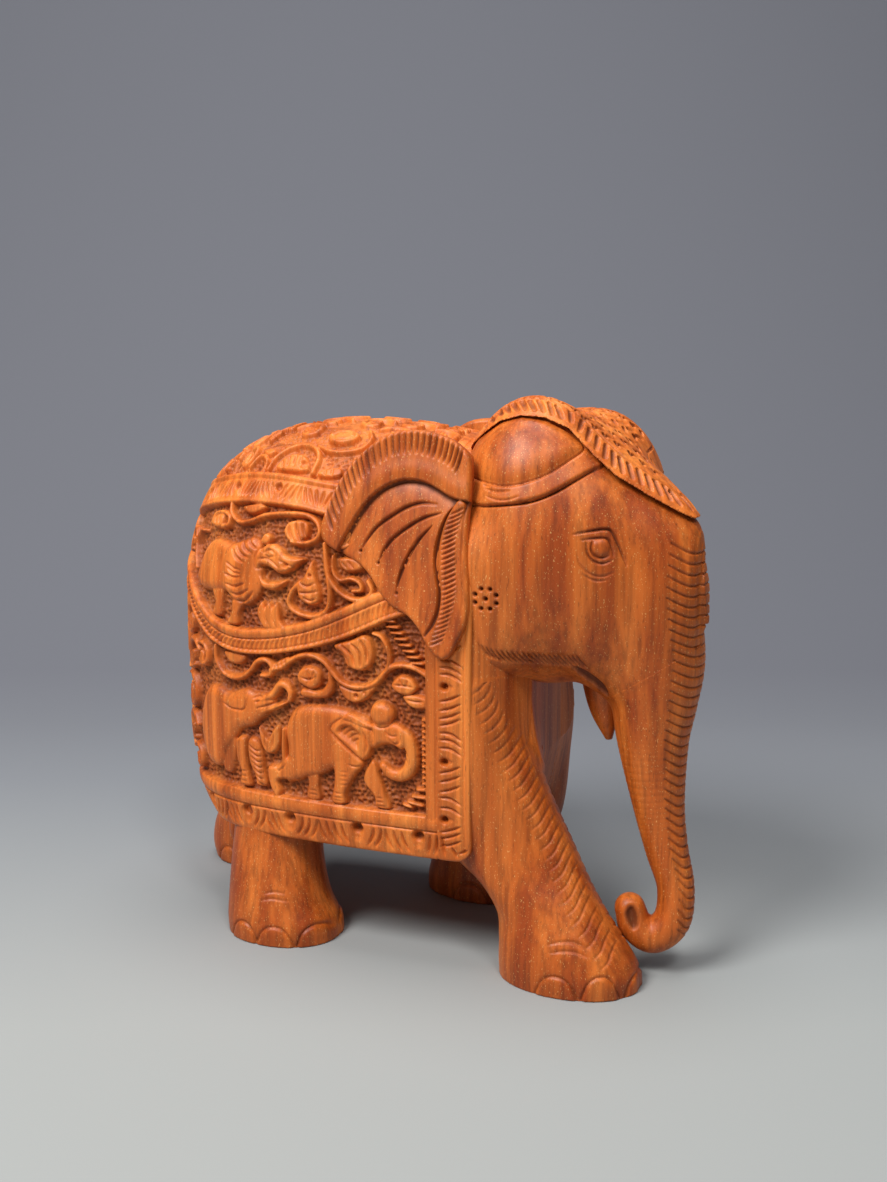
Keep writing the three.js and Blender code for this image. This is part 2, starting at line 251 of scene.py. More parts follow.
def surface(field, low, high, step):
    """Corners and quads of the closed surface where the field is 0, worked out only near that surface."""
    low = np.array(low, float)
    blocks = np.ceil((np.array(high, float) - low) / (step * ROUGH)).astype(int)
    rough_axes = [low[i] + np.arange(blocks[i] + 1) * step * ROUGH for i in range(3)]
    rough = np.stack(np.meshgrid(*rough_axes, indexing="ij"), -1).reshape(-1, 3)
    rough = field(rough).reshape(blocks + 1)
    corners = [rough[i:i + blocks[0], j:j + blocks[1], k:k + blocks[2]]
               for i in (0, 1) for j in (0, 1) for k in (0, 1)]
    near = np.min(np.abs(corners), axis=0) < NEAR * step * ROUGH
    near |= (np.min(corners, axis=0) < 0) & (np.max(corners, axis=0) > 0)
    near = np.pad(near, ((0, 1), (0, 1), (0, 1)), mode="edge")
    size = blocks * ROUGH + 1
    grow = lambda a: a.repeat(ROUGH, 0).repeat(ROUGH, 1).repeat(ROUGH, 2)[:size[0], :size[1], :size[2]]
    values = grow(rough).astype(np.float32)
    wanted = np.argwhere(grow(near))
    values[tuple(wanted.T)] = field(low + wanted * step)
    return nets(values, low, step)


def nets(values, low, step):
    """Surface nets: one corner in each cell that the surface crosses, one quad for each crossed edge."""
    inside = values < 0
    halves = [slice(0, -1), slice(1, None)]
    count = sum(inside[a, b, c].astype(np.int8) for a in halves for b in halves for c in halves)
    crossed = np.argwhere((count > 0) & (count < 8))
    number = np.full(count.shape, -1, np.int32)
    number[tuple(crossed.T)] = np.arange(len(crossed))
    return low + (crossed + cell_middles(values, crossed)) * step, edge_quads(inside, number)


def cell_middles(values, cells):
    """The mean place, within each cell, of the surface's crossings with the cell's edges."""
    total, hits = np.zeros((len(cells), 3)), np.zeros(len(cells))
    offsets = np.array([(i, j, k) for i in (0, 1) for j in (0, 1) for k in (0, 1)])
    at_corner = {tuple(o): values[tuple((cells + o).T)] for o in offsets}
    for start in offsets:
        for axis in np.flatnonzero(start == 0):
            end = start.copy()
            end[axis] = 1
            a, b = at_corner[tuple(start)], at_corner[tuple(end)]
            cut = (a < 0) != (b < 0)
            t = np.where(cut, a / np.where(cut, a - b, 1), 0)
            spot = start + t[:, None] * (end - start)
            total += np.where(cut[:, None], spot, 0)
            hits += cut
    return total / hits[:, None]


def edge_quads(inside, number):
    """A quad for each grid edge that the surface crosses, from the numbers of the four cells round it."""
    quads = []
    for axis in range(3):
        first, second = (axis + 1) % 3, (axis + 2) % 3
        ahead, behind = [slice(None)] * 3, [slice(None)] * 3
        ahead[axis], behind[axis] = slice(1, None), slice(0, -1)
        edges = np.argwhere(inside[tuple(behind)] != inside[tuple(ahead)])
        for side in (first, second):
            edges = edges[(edges[:, side] > 0) & (edges[:, side] < number.shape[side])]
        ring = []
        for i, j in ((1, 1), (0, 1), (0, 0), (1, 0)):
            cell = edges.copy()
            cell[:, first] -= i
            cell[:, second] -= j
            ring.append(number[tuple(cell.T)])
        quad = np.stack(ring, 1)
        outward = inside[tuple(edges.T)]
        quads.append(np.where(outward[:, None], quad, quad[:, ::-1]))
    return np.concatenate(quads)


def unit(vectors):
    """The same directions at length 1."""
    return vectors / np.maximum(np.sqrt((vectors**2).sum(1)), 1e-6)[:, None]


def slope(field, points, reach=0.08):
    """The field's gradient, by differences."""
    parts = []
    for axis in range(3):
        shift = np.zeros(3)
        shift[axis] = reach
        parts.append((field(points + shift) - field(points - shift)) / (2 * reach))
    return np.stack(parts, 1)


def settle(field, points, limit=0.3, rounds=1):
    """Moves points onto the surface where the field is 0, and gives their outward directions."""
    for _ in range(rounds):
        gradient = slope(field, points)
        steep = np.maximum((gradient**2).sum(1), 0.05)
        move = -(field(points) / steep)[:, None] * gradient
        far = np.maximum(np.sqrt((move**2).sum(1)) / limit, 1)
        points = points + move / far[:, None]
    return points, unit(slope(field, points))


def new_piece(name, points, faces, slot, *nodes, hollow=None):
    """A smooth-shaded mesh object that rides on the body and stands for CAD nodes. faces holds one array
    of corner numbers for each number of sides. hollow says how deep in the carving each point lies, which the
    materials turn into painted shade."""
    faces = [group for group in faces if len(group)]
    corners = np.concatenate([group.ravel() for group in faces]).astype(np.int32)
    sides = np.concatenate([np.full(len(group), group.shape[1]) for group in faces])
    mesh = bpy.data.meshes.new(name)
    mesh.vertices.add(len(points))
    mesh.vertices.foreach_set("co", to_frame(points).astype(np.float32).ravel())
    mesh.loops.add(len(corners))
    mesh.loops.foreach_set("vertex_index", corners)
    mesh.polygons.add(len(sides))
    starts = np.concatenate([[0], np.cumsum(sides)[:-1]]).astype(np.int32)
    mesh.polygons.foreach_set("loop_start", starts)
    mesh.polygons.foreach_set("use_smooth", np.ones(len(sides), bool))
    mesh.update(calc_edges=True)
    if hollow is None:
        hollow = np.zeros(len(points))
    # hollow is stored on the points; the wood materials paint shade into the carving from it
    depths = mesh.attributes.new("hollow", "FLOAT", "POINT")
    depths.data.foreach_set("value", np.asarray(hollow, np.float32))
    mesh.validate()
    piece = bpy.data.objects.new(name, mesh)
    bpy.context.scene.collection.objects.link(piece)
    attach(piece, "root")
    if nodes:
        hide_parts(*nodes)
    return piece


# ---------------------------------------------------------------- the saddle cloth's sheet
# Along the sheet, u runs back from the front edge: it is the station on the straight side, and behind
# RUMP_START it goes on round the rump by arc length. Up the sheet, q is the height, and above WIDEST_HEIGHT
# it goes on over the back by arc length to the spine.
RUMP_START = -4.0
CLOTH_STEP = 0.26
HEM_ROUND, EDGE_ROUND, CORNER_ROUND, CORNER_FADE = 1.0, 0.7, 5.0, 22.0
LONGEST_RAY, HALVINGS = 90.0, 26
cloth_outside = lengthwise([(x, 0, *rest) for x, *rest in CLOTH_ROWS], BACK_POWER, HEM_POWER, WIDEST_HEIGHT)


def halved(is_inside, count, longest, rounds):
    """Near and far bounds, by halving, of how far out several rays leave a form."""
    near, far = np.zeros(count), np.full(count, longest)
    for _ in range(rounds):
        middle = (near + far) / 2
        inside = is_inside(middle)
        near, far = np.where(inside, middle, near), np.where(inside, far, middle)
    return near, far


def arc_lengths(path):
    """How far along a path each of its points is."""
    return np.concatenate([[0], np.cumsum(np.sqrt((np.diff(path, axis=0) ** 2).sum(1)))])


def reach_cloth(origin, direction):
    """How far each ray goes from its origin to the outside of the cloth."""
    is_inside = lambda reach: cloth_outside(origin + reach[:, None] * direction) < 0
    near, far = halved(is_inside, len(origin), LONGEST_RAY, HALVINGS)
    return (near + far) / 2


def level_rays(turn):
    """Level directions that turn from the right to the rear."""
    return np.stack([-np.sin(turn), -np.cos(turn), 0 * turn], 1)


def rump_turn():
    """Arc length round the widest height of the rump, from its start to the middle of the rear."""
    turn = np.linspace(0, math.pi / 2, 400)
    origin = np.tile([RUMP_START, 0, WIDEST_HEIGHT], (len(turn), 1))
    edge = origin + reach_cloth(origin, level_rays(turn))[:, None] * level_rays(turn)
    return arc_lengths(edge), turn


RUMP_LENGTHS, RUMP_TURNS = rump_turn()
U_REAR = RUMP_START - RUMP_LENGTHS[-1]


def cloth_columns(u):
    """Origin on the long axis and level outward direction, to the right, for each place along the sheet."""
    turn = np.interp(RUMP_START - u, RUMP_LENGTHS, RUMP_TURNS)
    origin = np.stack([np.maximum(u, RUMP_START), 0 * u, 0 * u + WIDEST_HEIGHT], 1)
    return origin, level_rays(turn)


def over_the_back():
    """Arc length over the back against the angle of climb, at a few places along the sheet."""
    places = np.linspace(U_REAR, CLOTH_FRONT, 60)
    climbs = np.linspace(0, math.pi / 2, 90)
    lengths = []
    for u in places:
        origin, level = cloth_columns(np.full(len(climbs), u))
        ray = level * np.cos(climbs)[:, None] + np.array([0, 0, 1]) * np.sin(climbs)[:, None]
        edge = origin + reach_cloth(origin, ray)[:, None] * ray
        lengths.append(arc_lengths(edge))
    return places, climbs, np.array(lengths)


BACK_PLACES, BACK_CLIMBS, BACK_LENGTHS = over_the_back()


def cloth_point(u, q, spine):
    """The right-hand side of the sheet at (u, q); spine is the q of the top of each column."""
    origin, level = cloth_columns(u)
    share = np.clip((q - WIDEST_HEIGHT) / (spine - WIDEST_HEIGHT), 0, 1)
    column = np.interp(u, BACK_PLACES, np.arange(len(BACK_PLACES)))
    first = np.minimum(column.astype(int), len(BACK_PLACES) - 2)
    part = column - first
    shares = BACK_LENGTHS / BACK_LENGTHS[:, -1:]
    place = np.empty(len(u))
    for k in range(len(BACK_PLACES) - 1):
        here = first == k
        if here.any():
            a = np.interp(share[here], shares[k], BACK_CLIMBS)
            b = np.interp(share[here], shares[k + 1], BACK_CLIMBS)
            place[here] = a + (b - a) * part[here]
    up = np.array([0.0, 0.0, 1.0])
    low = (q < WIDEST_HEIGHT)[:, None]
    ray = np.where(low, level, level * np.cos(place)[:, None] + up * np.sin(place)[:, None])
    start = np.where(low, origin + up * (q - WIDEST_HEIGHT)[:, None], origin)
    return start + reach_cloth(start, ray)[:, None] * ray


def spine_at(u):
    """The q of the top of the sheet, on the spine."""
    return WIDEST_HEIGHT + np.interp(u, BACK_PLACES, BACK_LENGTHS[:, -1])


# ---------------------------------------------------------------- relief carving
def smooth_path(points, closed=False, spacing=0.5):
    """A smooth curve through given points."""
    ring = np.array(points, float)
    if closed:
        ring = np.concatenate([ring[-1:], ring, ring[:2]])
    else:
        ring = np.concatenate([2 * ring[:1] - ring[1:2], ring, 2 * ring[-1:] - ring[-2:-1]])
    parts = []
    for a, b, c, d in zip(ring, ring[1:], ring[2:], ring[3:]):
        count = max(2, math.ceil(np.linalg.norm(c - b) / spacing))
        t = (np.arange(count) / count)[:, None]
        parts.append(b + t * ((c - a) + t * ((2 * a - 5 * b + 4 * c - d) + t * (3 * b - a - 3 * c + d))) / 2)
    if not closed:
        parts.append(ring[-2:-1])
    return np.concatenate(parts)


def to_path(u, q, path):
    """Distance to a path, and how far along it the nearest place is, from 0 to 1."""
    nearest, along = np.full(u.shape, 1e9), np.zeros(u.shape)
    runs = np.diff(path, axis=0)
    lengths = np.sqrt((runs**2).sum(1)) + 1e-9
    starts = np.concatenate([[0], np.cumsum(lengths)])
    for a, run, length, start in zip(path, runs, lengths, starts):
        t = np.clip(((u - a[0]) * run[0] + (q - a[1]) * run[1]) / length**2, 0, 1)
        gap = (u - a[0] - t * run[0]) ** 2 + (q - a[1] - t * run[1]) ** 2
        closer = gap < nearest
        nearest = np.where(closer, gap, nearest)
        along = np.where(closer, (start + t * length) / starts[-1], along)
    return np.sqrt(nearest), along


def inside_of(u, q, outline):
    """Whether each place lies inside a closed outline."""
    odd = np.zeros(u.shape, bool)
    for a, b in zip(outline, np.roll(outline, -1, axis=0)):
        if a[1] != b[1]:
            crossing = a[0] + (q - a[1]) * (b[0] - a[0]) / (b[1] - a[1])
            odd ^= ((a[1] > q) != (b[1] > q)) & (u < crossing)
    return odd


GROUND, BACK_GROUND = -2.0, -1.3      # depths of the sunken ground in the side panels and on the back
GROOVE = 0.38                         # width of the groove cut round a figure
LINE, STROKE = 0.36, 0.7              # half width and depth of a usual cut


class Relief:
    """Heights in mm over a flat field of two coordinates. 0 is the uncut surface."""

    def __init__(self, low, high, step=0.12):
        self.low, self.step = np.array(low, float), step
        self.height = np.zeros(np.round((np.array(high) - low) / step).astype(int) + 1)

    def grid(self):
        """Both coordinates of every place."""
        axes = [self.low[i] + np.arange(self.height.shape[i]) * self.step for i in (0, 1)]
        return np.meshgrid(*axes, indexing="ij")

    def patch(self, points, margin):
        """The part of the field round some points: where it is, and its coordinates."""
        first = np.floor((points.min(0) - margin - self.low) / self.step).astype(int)
        last = np.ceil((points.max(0) + margin - self.low) / self.step).astype(int) + 1
        first, last = np.clip(first, 0, self.height.shape), np.clip(last, 0, self.height.shape)
        axes = [self.low[i] + np.arange(first[i], last[i]) * self.step for i in (0, 1)]
        return (slice(first[0], last[0]), slice(first[1], last[1])), *np.meshgrid(*axes, indexing="ij")

    def figure(self, outline, top, edge=1.4, base=GROUND, line=0.0):
        """A rounded form with a closed outline. line is the depth of a groove round it."""
        path = smooth_path(outline, closed=True)
        path = np.concatenate([path, path[:1]])
        spot, u, q = self.patch(path, 1.2)
        if not u.size:
            return
        gap, _ = to_path(u, q, path)
        within_it = inside_of(u, q, path[:-1])
        if line:
            self.height[spot] -= line * np.exp(-((gap / GROOVE) ** 2)) * ~within_it
        rise = np.clip(gap / edge, 0, 1)
        form = base + (top - base) * np.sqrt(rise * (2 - rise))
        self.height[spot] = np.where(within_it, np.maximum(self.height[spot], form), self.height[spot])

    def hollow(self, outline, floor, edge=0.5):
        """A sunken area with a closed outline."""
        path = smooth_path(outline, closed=True)
        path = np.concatenate([path, path[:1]])
        spot, u, q = self.patch(path, 0.5)
        gap, _ = to_path(u, q, path)
        depth = np.clip(gap / edge, 0, 1) * inside_of(u, q, path[:-1])
        lower = self.height[spot] + (floor - self.height[spot]) * depth
        self.height[spot] = np.minimum(self.height[spot], lower)

    def roll(self, points, half_width, top, base=GROUND, taper=0.0, line=0.0):
        """A raised rounded strip along a curve; taper narrows its ends."""
        path = smooth_path(points)
        spot, u, q = self.patch(path, half_width + 1)
        if not u.size:
            return
        gap, along = to_path(u, q, path)
        half = half_width * (1 - taper * np.abs(2 * along - 1) ** 3)
        if line:
            self.height[spot] -= line * np.exp(-(((gap - half) / 0.35) ** 2)) * (gap > half)
        share = np.clip(gap / half, 0, 1)
        form = base + (top - base) * np.sqrt(1 - share**2)
        self.height[spot] = np.where(gap < half, np.maximum(self.height[spot], form), self.height[spot])

    def cut(self, points, half_width=LINE, depth=STROKE, pointed=0.6):
        """A groove along a curve, running out to points at both ends."""
        path = smooth_path(points)
        spot, u, q = self.patch(path, half_width)
        if not u.size:
            return
        gap, along = to_path(u, q, path)
        fade = 1 - pointed * np.abs(2 * along - 1) ** 3
        self.height[spot] -= depth * fade * np.clip(1 - (gap / (half_width * fade)) ** 2, 0, 1)

    def cuts(self, *strokes, half_width=LINE, depth=STROKE):
        """Several grooves of one size."""
        for stroke in strokes:
            self.cut(stroke, half_width, depth)

    def hole(self, place, radius, depth, rim=0.22):
        """A drilled hole."""
        spot, u, q = self.patch(np.array([place], float), radius + rim)
        gap = np.hypot(u - place[0], q - place[1])
        self.height[spot] -= depth * np.clip((radius + rim - gap) / (2 * rim), 0, 1)

    def comb(self, path, count, reach, lean, half_width=0.3, depth=0.5, bend=0.0):
        """Strokes across a band along a curve. reach is from the curve's left side to its right."""
        path = smooth_path(path)
        lengths = arc_lengths(path)
        for share in (np.arange(count) + 0.5) / count:
            middle = np.array([np.interp(share * lengths[-1], lengths, path[:, i]) for i in (0, 1)])
            ahead = np.array([np.interp(share * lengths[-1] + 0.3, lengths, path[:, i]) for i in (0, 1)])
            forward = (ahead - middle) / (np.linalg.norm(ahead - middle) + 1e-9)
            left = np.array([-forward[1], forward[0]])
            start = middle - left * reach[0] - forward * lean
            end = middle + left * reach[1] + forward * lean
            halfway = (start + end) / 2 + forward * bend
            self.cut([start, halfway, end], half_width, depth, 0.4)

    def stipple(self, below, spacing=1.0, radius=0.2, depth=0.6, seed=7):
        """Small pits all over the sunken ground, where the height is below a level."""
        stray, clear = 0.28, 0.35
        random = np.random.default_rng(seed)
        count = ((np.array(self.height.shape) * self.step) / spacing).astype(int)
        i, j = np.meshgrid(np.arange(count[0]), np.arange(count[1]), indexing="ij")
        places = np.stack([i + 0.5 * (j % 2), j * 0.9], -1).reshape(-1, 2) * spacing
        places += random.uniform(-stray, stray, places.shape) * spacing
        level = self.height.copy()
        for place in places + self.low:
            around = place + clear * np.array([(0, 0), (1, 0), (-1, 0), (0, 1), (0, -1)])
            cell = np.round((around - self.low) / self.step).astype(int)
            if (cell < 0).any() or (cell >= self.height.shape).any():
                continue
            if (level[cell[:, 0], cell[:, 1]] < below).all():
                self.hole(place, radius * random.uniform(0.8, 1.3), depth)

    def soften(self):
        """Evens out the tool marks a little."""
        for axis in (0, 1):
            ahead, behind = np.roll(self.height, -1, axis), np.roll(self.height, 1, axis)
            self.height = 0.5 * self.height + 0.25 * (ahead + behind)

    def furrows(self, width):
        """A relief of how far each place lies below the average around it."""
        found, reach = Relief(self.low, self.low, self.step), round(width / self.step / 2)
        wide = self.height
        for axis in (0, 1, 0, 1):
            wide = np.moveaxis(wide, axis, 0)
            total = np.cumsum(np.pad(wide, ((reach + 1, reach), (0, 0)), mode="edge"), 0)
            wide = np.moveaxis((total[2 * reach + 1:] - total[:-2 * reach - 1]) / (2 * reach + 1), 0, axis)
        found.height = wide - self.height
        return found

    def at(self, u, q):
        """Heights at any places, read smoothly."""
        x = np.clip((u - self.low[0]) / self.step, 0, self.height.shape[0] - 1.001)
        y = np.clip((q - self.low[1]) / self.step, 0, self.height.shape[1] - 1.001)
        i, j = x.astype(int), y.astype(int)
        a, b = x - i, y - j
        h = self.height
        return ((1 - a) * (1 - b) * h[i, j] + a * (1 - b) * h[i + 1, j]
                + (1 - a) * b * h[i, j + 1] + a * b * h[i + 1, j + 1])


# ---------------------------------------------------------------- the saddle cloth's carving, as (u, q)
PANEL_LOW, PANEL_FRONT = 42.0, 45.4
PANEL_WALL = 0.45       # how far in from a panel's edge its ground reaches full depth
DEEPEST = -2.6          # nothing is cut deeper into the cloth
CRESCENT = [(-60, 108), (-50, 104.5), (-42, 100), (-35, 96.3), (-28, 92), (-22, 88.6), (-15, 86.6),
            (-8, 86.3), (0, 87.2), (8, 89), (15, 91.3), (22, 94.4), (29, 97.8), (35, 100.5), (44, 104),
            (50, 106)]
ROPE_EDGE = [(-60, 103.5), (-50, 100), (-42, 95.5), (-35, 91.3), (-28, 86.8), (-22, 83.3), (-15, 81.2),
             (-8, 80.8), (0, 81.5), (8, 83.2), (15, 85.1), (22, 87.6), (29, 90.8), (35, 93.6), (44, 97),
             (50, 99)]
BAND_RIDGE = [(-60, 112), (-42, 117.5), (-30, 120.2), (-20, 121.7), (-8, 122.4), (0, 122.2), (8, 121.5),
              (15, 120.3), (28, 119), (45, 118)]
BACK_ROLL = [(-60, 120), (-42, 125.8), (-30, 127.9), (-20, 129.2), (-10, 129.9), (0, 129.6), (8, 128.7),
             (16, 127.7), (30, 126.5), (46, 126)]


def sink_panels(relief):
    """Lowers the grounds: one below the rope, one above it, and the whole back."""
    u, q = relief.grid()
    crescent, rope = [np.interp(u, *zip(*line)) for line in (CRESCENT, ROPE_EDGE)]
    ridge, back = [np.interp(u, *zip(*line)) for line in (BAND_RIDGE, BACK_ROLL)]
    lower = np.minimum(np.minimum(q - PANEL_LOW, rope - q), PANEL_FRONT - u)
    upper = np.minimum(np.minimum(q - crescent, ridge - q), PANEL_FRONT - u)
    top = np.minimum(q - back, PANEL_FRONT - u)
    for inset, level in ((lower, GROUND), (upper, GROUND), (top, BACK_GROUND)):
        relief.height = np.minimum(relief.height, level * np.clip(inset / PANEL_WALL, 0, 1))


def carve_rope(relief):
    """The rolls along the panels, and the rope between them."""
    relief.roll(CRESCENT, 1.25, 0.25, -0.8)
    relief.roll(BAND_RIDGE, 0.7, 0.1, -0.8)
    relief.roll(BACK_ROLL, 1.0, 0.3, -0.8, line=0.3)
    rope_middle = [(u, (a + b) / 2 - 0.6) for (u, a), (_, b) in zip(CRESCENT, ROPE_EDGE)]
    relief.comb(rope_middle, 74, (1.5, 1.5), 0.75, 0.42, 0.6, -0.25)
    relief.roll([(u, q + 0.4) for u, q in ROPE_EDGE], 0.55, 0.15, -0.5)
    relief.cut([(u, q - 1.5) for u, q in CRESCENT], 0.3, 0.7, 0)
    relief.cut([(u, q + 1.2) for u, q in ROPE_EDGE], 0.25, 0.35, 0)


def carve_front_border(relief):
    """A plain strip, then leaves of slanting strokes round drilled holes."""
    relief.cut([(48.2, 30), (48.2, 60), (48.2, 150)], 0.25, 0.45, 0)
    relief.cut([(55.8, 34), (55.8, 60), (55.8, 150)], 0.25, 0.45, 0)
    for eye in (41.8, 57.4, 77.2, 96, 114, 132, 150):
        relief.hollow([(48.8, eye), (50, eye + 1.7), (52.5, eye + 0.9), (53.2, eye), (50.6, eye - 1.5)],
                      -0.45, 0.8)
        relief.hole((50.4, eye), 0.8, 1.7, 0.3)
    rising = (35.2, 37.4, 39.2, 50.2, 52.9, 55.3, 67.9, 69.7, 71.8, 74.2, 87, 89.6, 92, 104.6, 107.4, 110,
              122.8, 125.6, 128.2, 140.5, 143.4, 146.2)
    falling = (44.4, 47.1, 60.4, 62.6, 64.4, 79.8, 81.6, 83.6, 98.6, 100.8, 116.6, 119, 134.6, 137)
    for q in rising:
        relief.cut([(49.2, q - 0.9), (52, q - 0.1), (54.9, q + 1.3)], 0.45, 0.85)
    for q in falling:
        relief.cut([(49.2, q + 0.7), (52, q + 0.7), (55.1, q - 0.9)], 0.45, 0.85)
    relief.cuts([(52.2, 34.4), (53.8, 31.6)], [(54.2, 32.8), (56.4, 34)], half_width=0.5, depth=0.8)


def carve_hem(relief):
    """The same leaves lying down, under a plain roll."""
    relief.roll([(-60, 40.2), (0, 40.2), (47.6, 40.2)], 2.0, 0.25, -0.6)
    relief.cut([(-60, 38.1), (0, 38.1), (48, 38.1)], 0.3, 0.6, 0)
    for eye in (-55, -40, -25, -9, 5.2, 25.6, 43):
        relief.hollow([(eye - 1.9, 36.8), (eye - 1.4, 33.4), (eye, 32.4), (eye + 1.4, 33.4),
                       (eye + 1.9, 36.8)], -0.75, 1.2)
        relief.hole((eye, 36.5), 1.45, 1.6, 0.45)
    leaning = ((-57.6, -1), (-52.6, 1), (-50.6, 1), (-48.8, 1), (-46.6, -1), (-44.6, -1), (-42.6, -1),
               (-37.4, 1), (-35.4, 1), (-33.4, 1), (-31.6, -1), (-29.6, -1), (-27.6, -1), (-22.2, 1),
               (-20.2, 1), (-18.2, 1), (-16, -1), (-14, -1), (-12, -1), (-6, 1), (-4, 1), (-1.6, -1),
               (0.6, -1), (2.4, -1), (8.2, 1), (10.4, 1), (12.6, 1), (15.3, -1), (17.6, -1), (19.8, -1),
               (22, -1), (29.4, 1), (31.6, 1), (34.9, -1), (37.2, -1), (39.5, -1), (46, 0.3), (47.9, 0.3),
               (50, -0.3))
    for u, lean in leaning:
        relief.cut([(u + 1.1 * lean, 37.2), (u + 0.6 * lean, 34.6), (u - 0.9 * lean, 31.8)], 0.5, 0.85)


def carve_back_band(relief):
    """Strokes that sway to and fro under the back's roll, round drilled holes."""
    eyes = (-52, -35, -17.5, 0, 24, 40)
    sway = (0.2, 0.9, 1.3, 0.9, 0.2, -0.5, -0.9, -0.5)
    for eye in eyes:
        line = np.interp(eye, *zip(*BAND_RIDGE))
        relief.hole((eye, line + 4.2), 0.95, 1.2, 0.35)
    for i, u in enumerate(np.arange(-56, 45, 1.75)):
        line = np.interp(u, *zip(*BAND_RIDGE))
        lean = sway[i % len(sway)]
        if min(abs(u - eye) for eye in eyes) > 1.5:
            relief.cut([(u - lean, line + 1.2), (u - 0.1, line + 3.2), (u + lean, line + 5.4)], 0.5, 0.7)


def carve_vine(relief):
    """The vine over the lower panel, with its leaves."""
    figure, roll, cuts = relief.figure, relief.roll, relief.cuts
    vine = [(0, 77), (3.4, 78.2), (6.2, 80.2), (9.6, 81.9), (13, 82.2), (16.4, 80.9), (19, 78.2),
            (21.6, 75.8), (25, 74.9), (29, 75.4), (32, 77.2), (34.2, 79.8), (36.6, 81.4), (39.6, 81.8),
            (42.6, 81.2), (45.6, 79.6)]
    roll(vine, 0.85, -0.1, GROUND)
    roll([(34, 79.6), (35.2, 82.6), (34.8, 86), (33, 88.8), (30.6, 89.6)], 0.75, -0.2, GROUND, 0.4)
    figure([(19.4, 85.6), (22, 82.6), (23.6, 80.2), (27, 79.3), (30, 81), (31, 84.4), (30.2, 87.6),
            (28, 89), (24.4, 87.4)], 0, 1.0)
    cuts([(21.6, 86), (24.6, 83.6), (25.6, 80.4)], [(24.2, 86.8), (27, 84.2), (27.4, 80.6)],
         [(27, 88), (29, 84.8), (29.2, 81.8)], [(20.6, 84.8), (22.6, 83), (23.8, 81)],
         half_width=0.5, depth=0.9)
    roll([(-19.8, 81.4), (-19.6, 77.6), (-17.2, 74.6), (-13.6, 73.4), (-9.8, 74), (-6.8, 76), (-4.4, 78.8),
          (-1.6, 79.6), (0.4, 78), (-0.4, 75.6), (-3, 75.2)], 0.9, -0.1, GROUND, 0.2)
    figure([(-16.4, 80.4), (-15, 77.6), (-11.6, 77), (-8.6, 78.4), (-8.8, 80.4)], -0.6, 1.2)
    figure([(2.2, 79.6), (5.8, 81.2), (5.6, 78.6), (3.4, 77.2), (0.8, 78.4)], -0.4, 0.8)
    cuts([(1.6, 79.2), (2.6, 77.8)], [(3, 80), (3.8, 78)], [(4.4, 80.6), (5, 78.6)],
         half_width=0.3, depth=0.6)


def carve_buds(relief):
    """Two buds in their cups, and a leaf between them, under the vine."""
    figure, cuts, hole = relief.figure, relief.cuts, relief.hole
    figure([(8.8, 74.6), (8.4, 77), (10.4, 79), (13.6, 79.2), (15.6, 77.4), (15.2, 74.6), (12.6, 73)],
           0, 1.2)
    figure([(9.4, 72.8), (9.6, 70.8), (14, 70.6), (18, 71.6), (19.4, 74.6), (18.6, 78.2), (17.4, 78.4),
            (17.2, 75.2), (14.8, 73), (11.4, 73.2)], -0.15, 1.0)
    cuts([(9.6, 76.2), (12, 75.8), (14.6, 76.8)], [(11.8, 78.6), (12.4, 76.4), (11.8, 74.4)],
         [(13.8, 78.2), (13.2, 76.4)], half_width=0.35, depth=0.6)
    figure([(35.6, 76.4), (38.2, 79.2), (41.4, 78.6), (43, 76), (40.6, 74), (37.4, 74.4)], -0.1, 1.0)
    figure([(38.8, 73.6), (42.4, 74.4), (45.4, 73.6), (45.4, 71), (41.4, 70.8)], -0.3, 0.8)
    cuts([(36.6, 76.6), (39.2, 76.6), (42, 76.4)], [(38, 78.4), (38.8, 76.8)], [(40.4, 78.2), (40.2, 76.6)],
         [(40, 73), (42.4, 72.6), (44.8, 72.8)], half_width=0.32, depth=0.6)
    figure([(20.6, 75), (22.6, 71.4), (26, 70.6), (29.4, 72.6), (31.4, 75.8), (26, 74)], -0.5, 0.8)
    hole((25.8, 72.6), 0.55, 0.9)
    hole((28, 73.6), 0.35, 0.7)


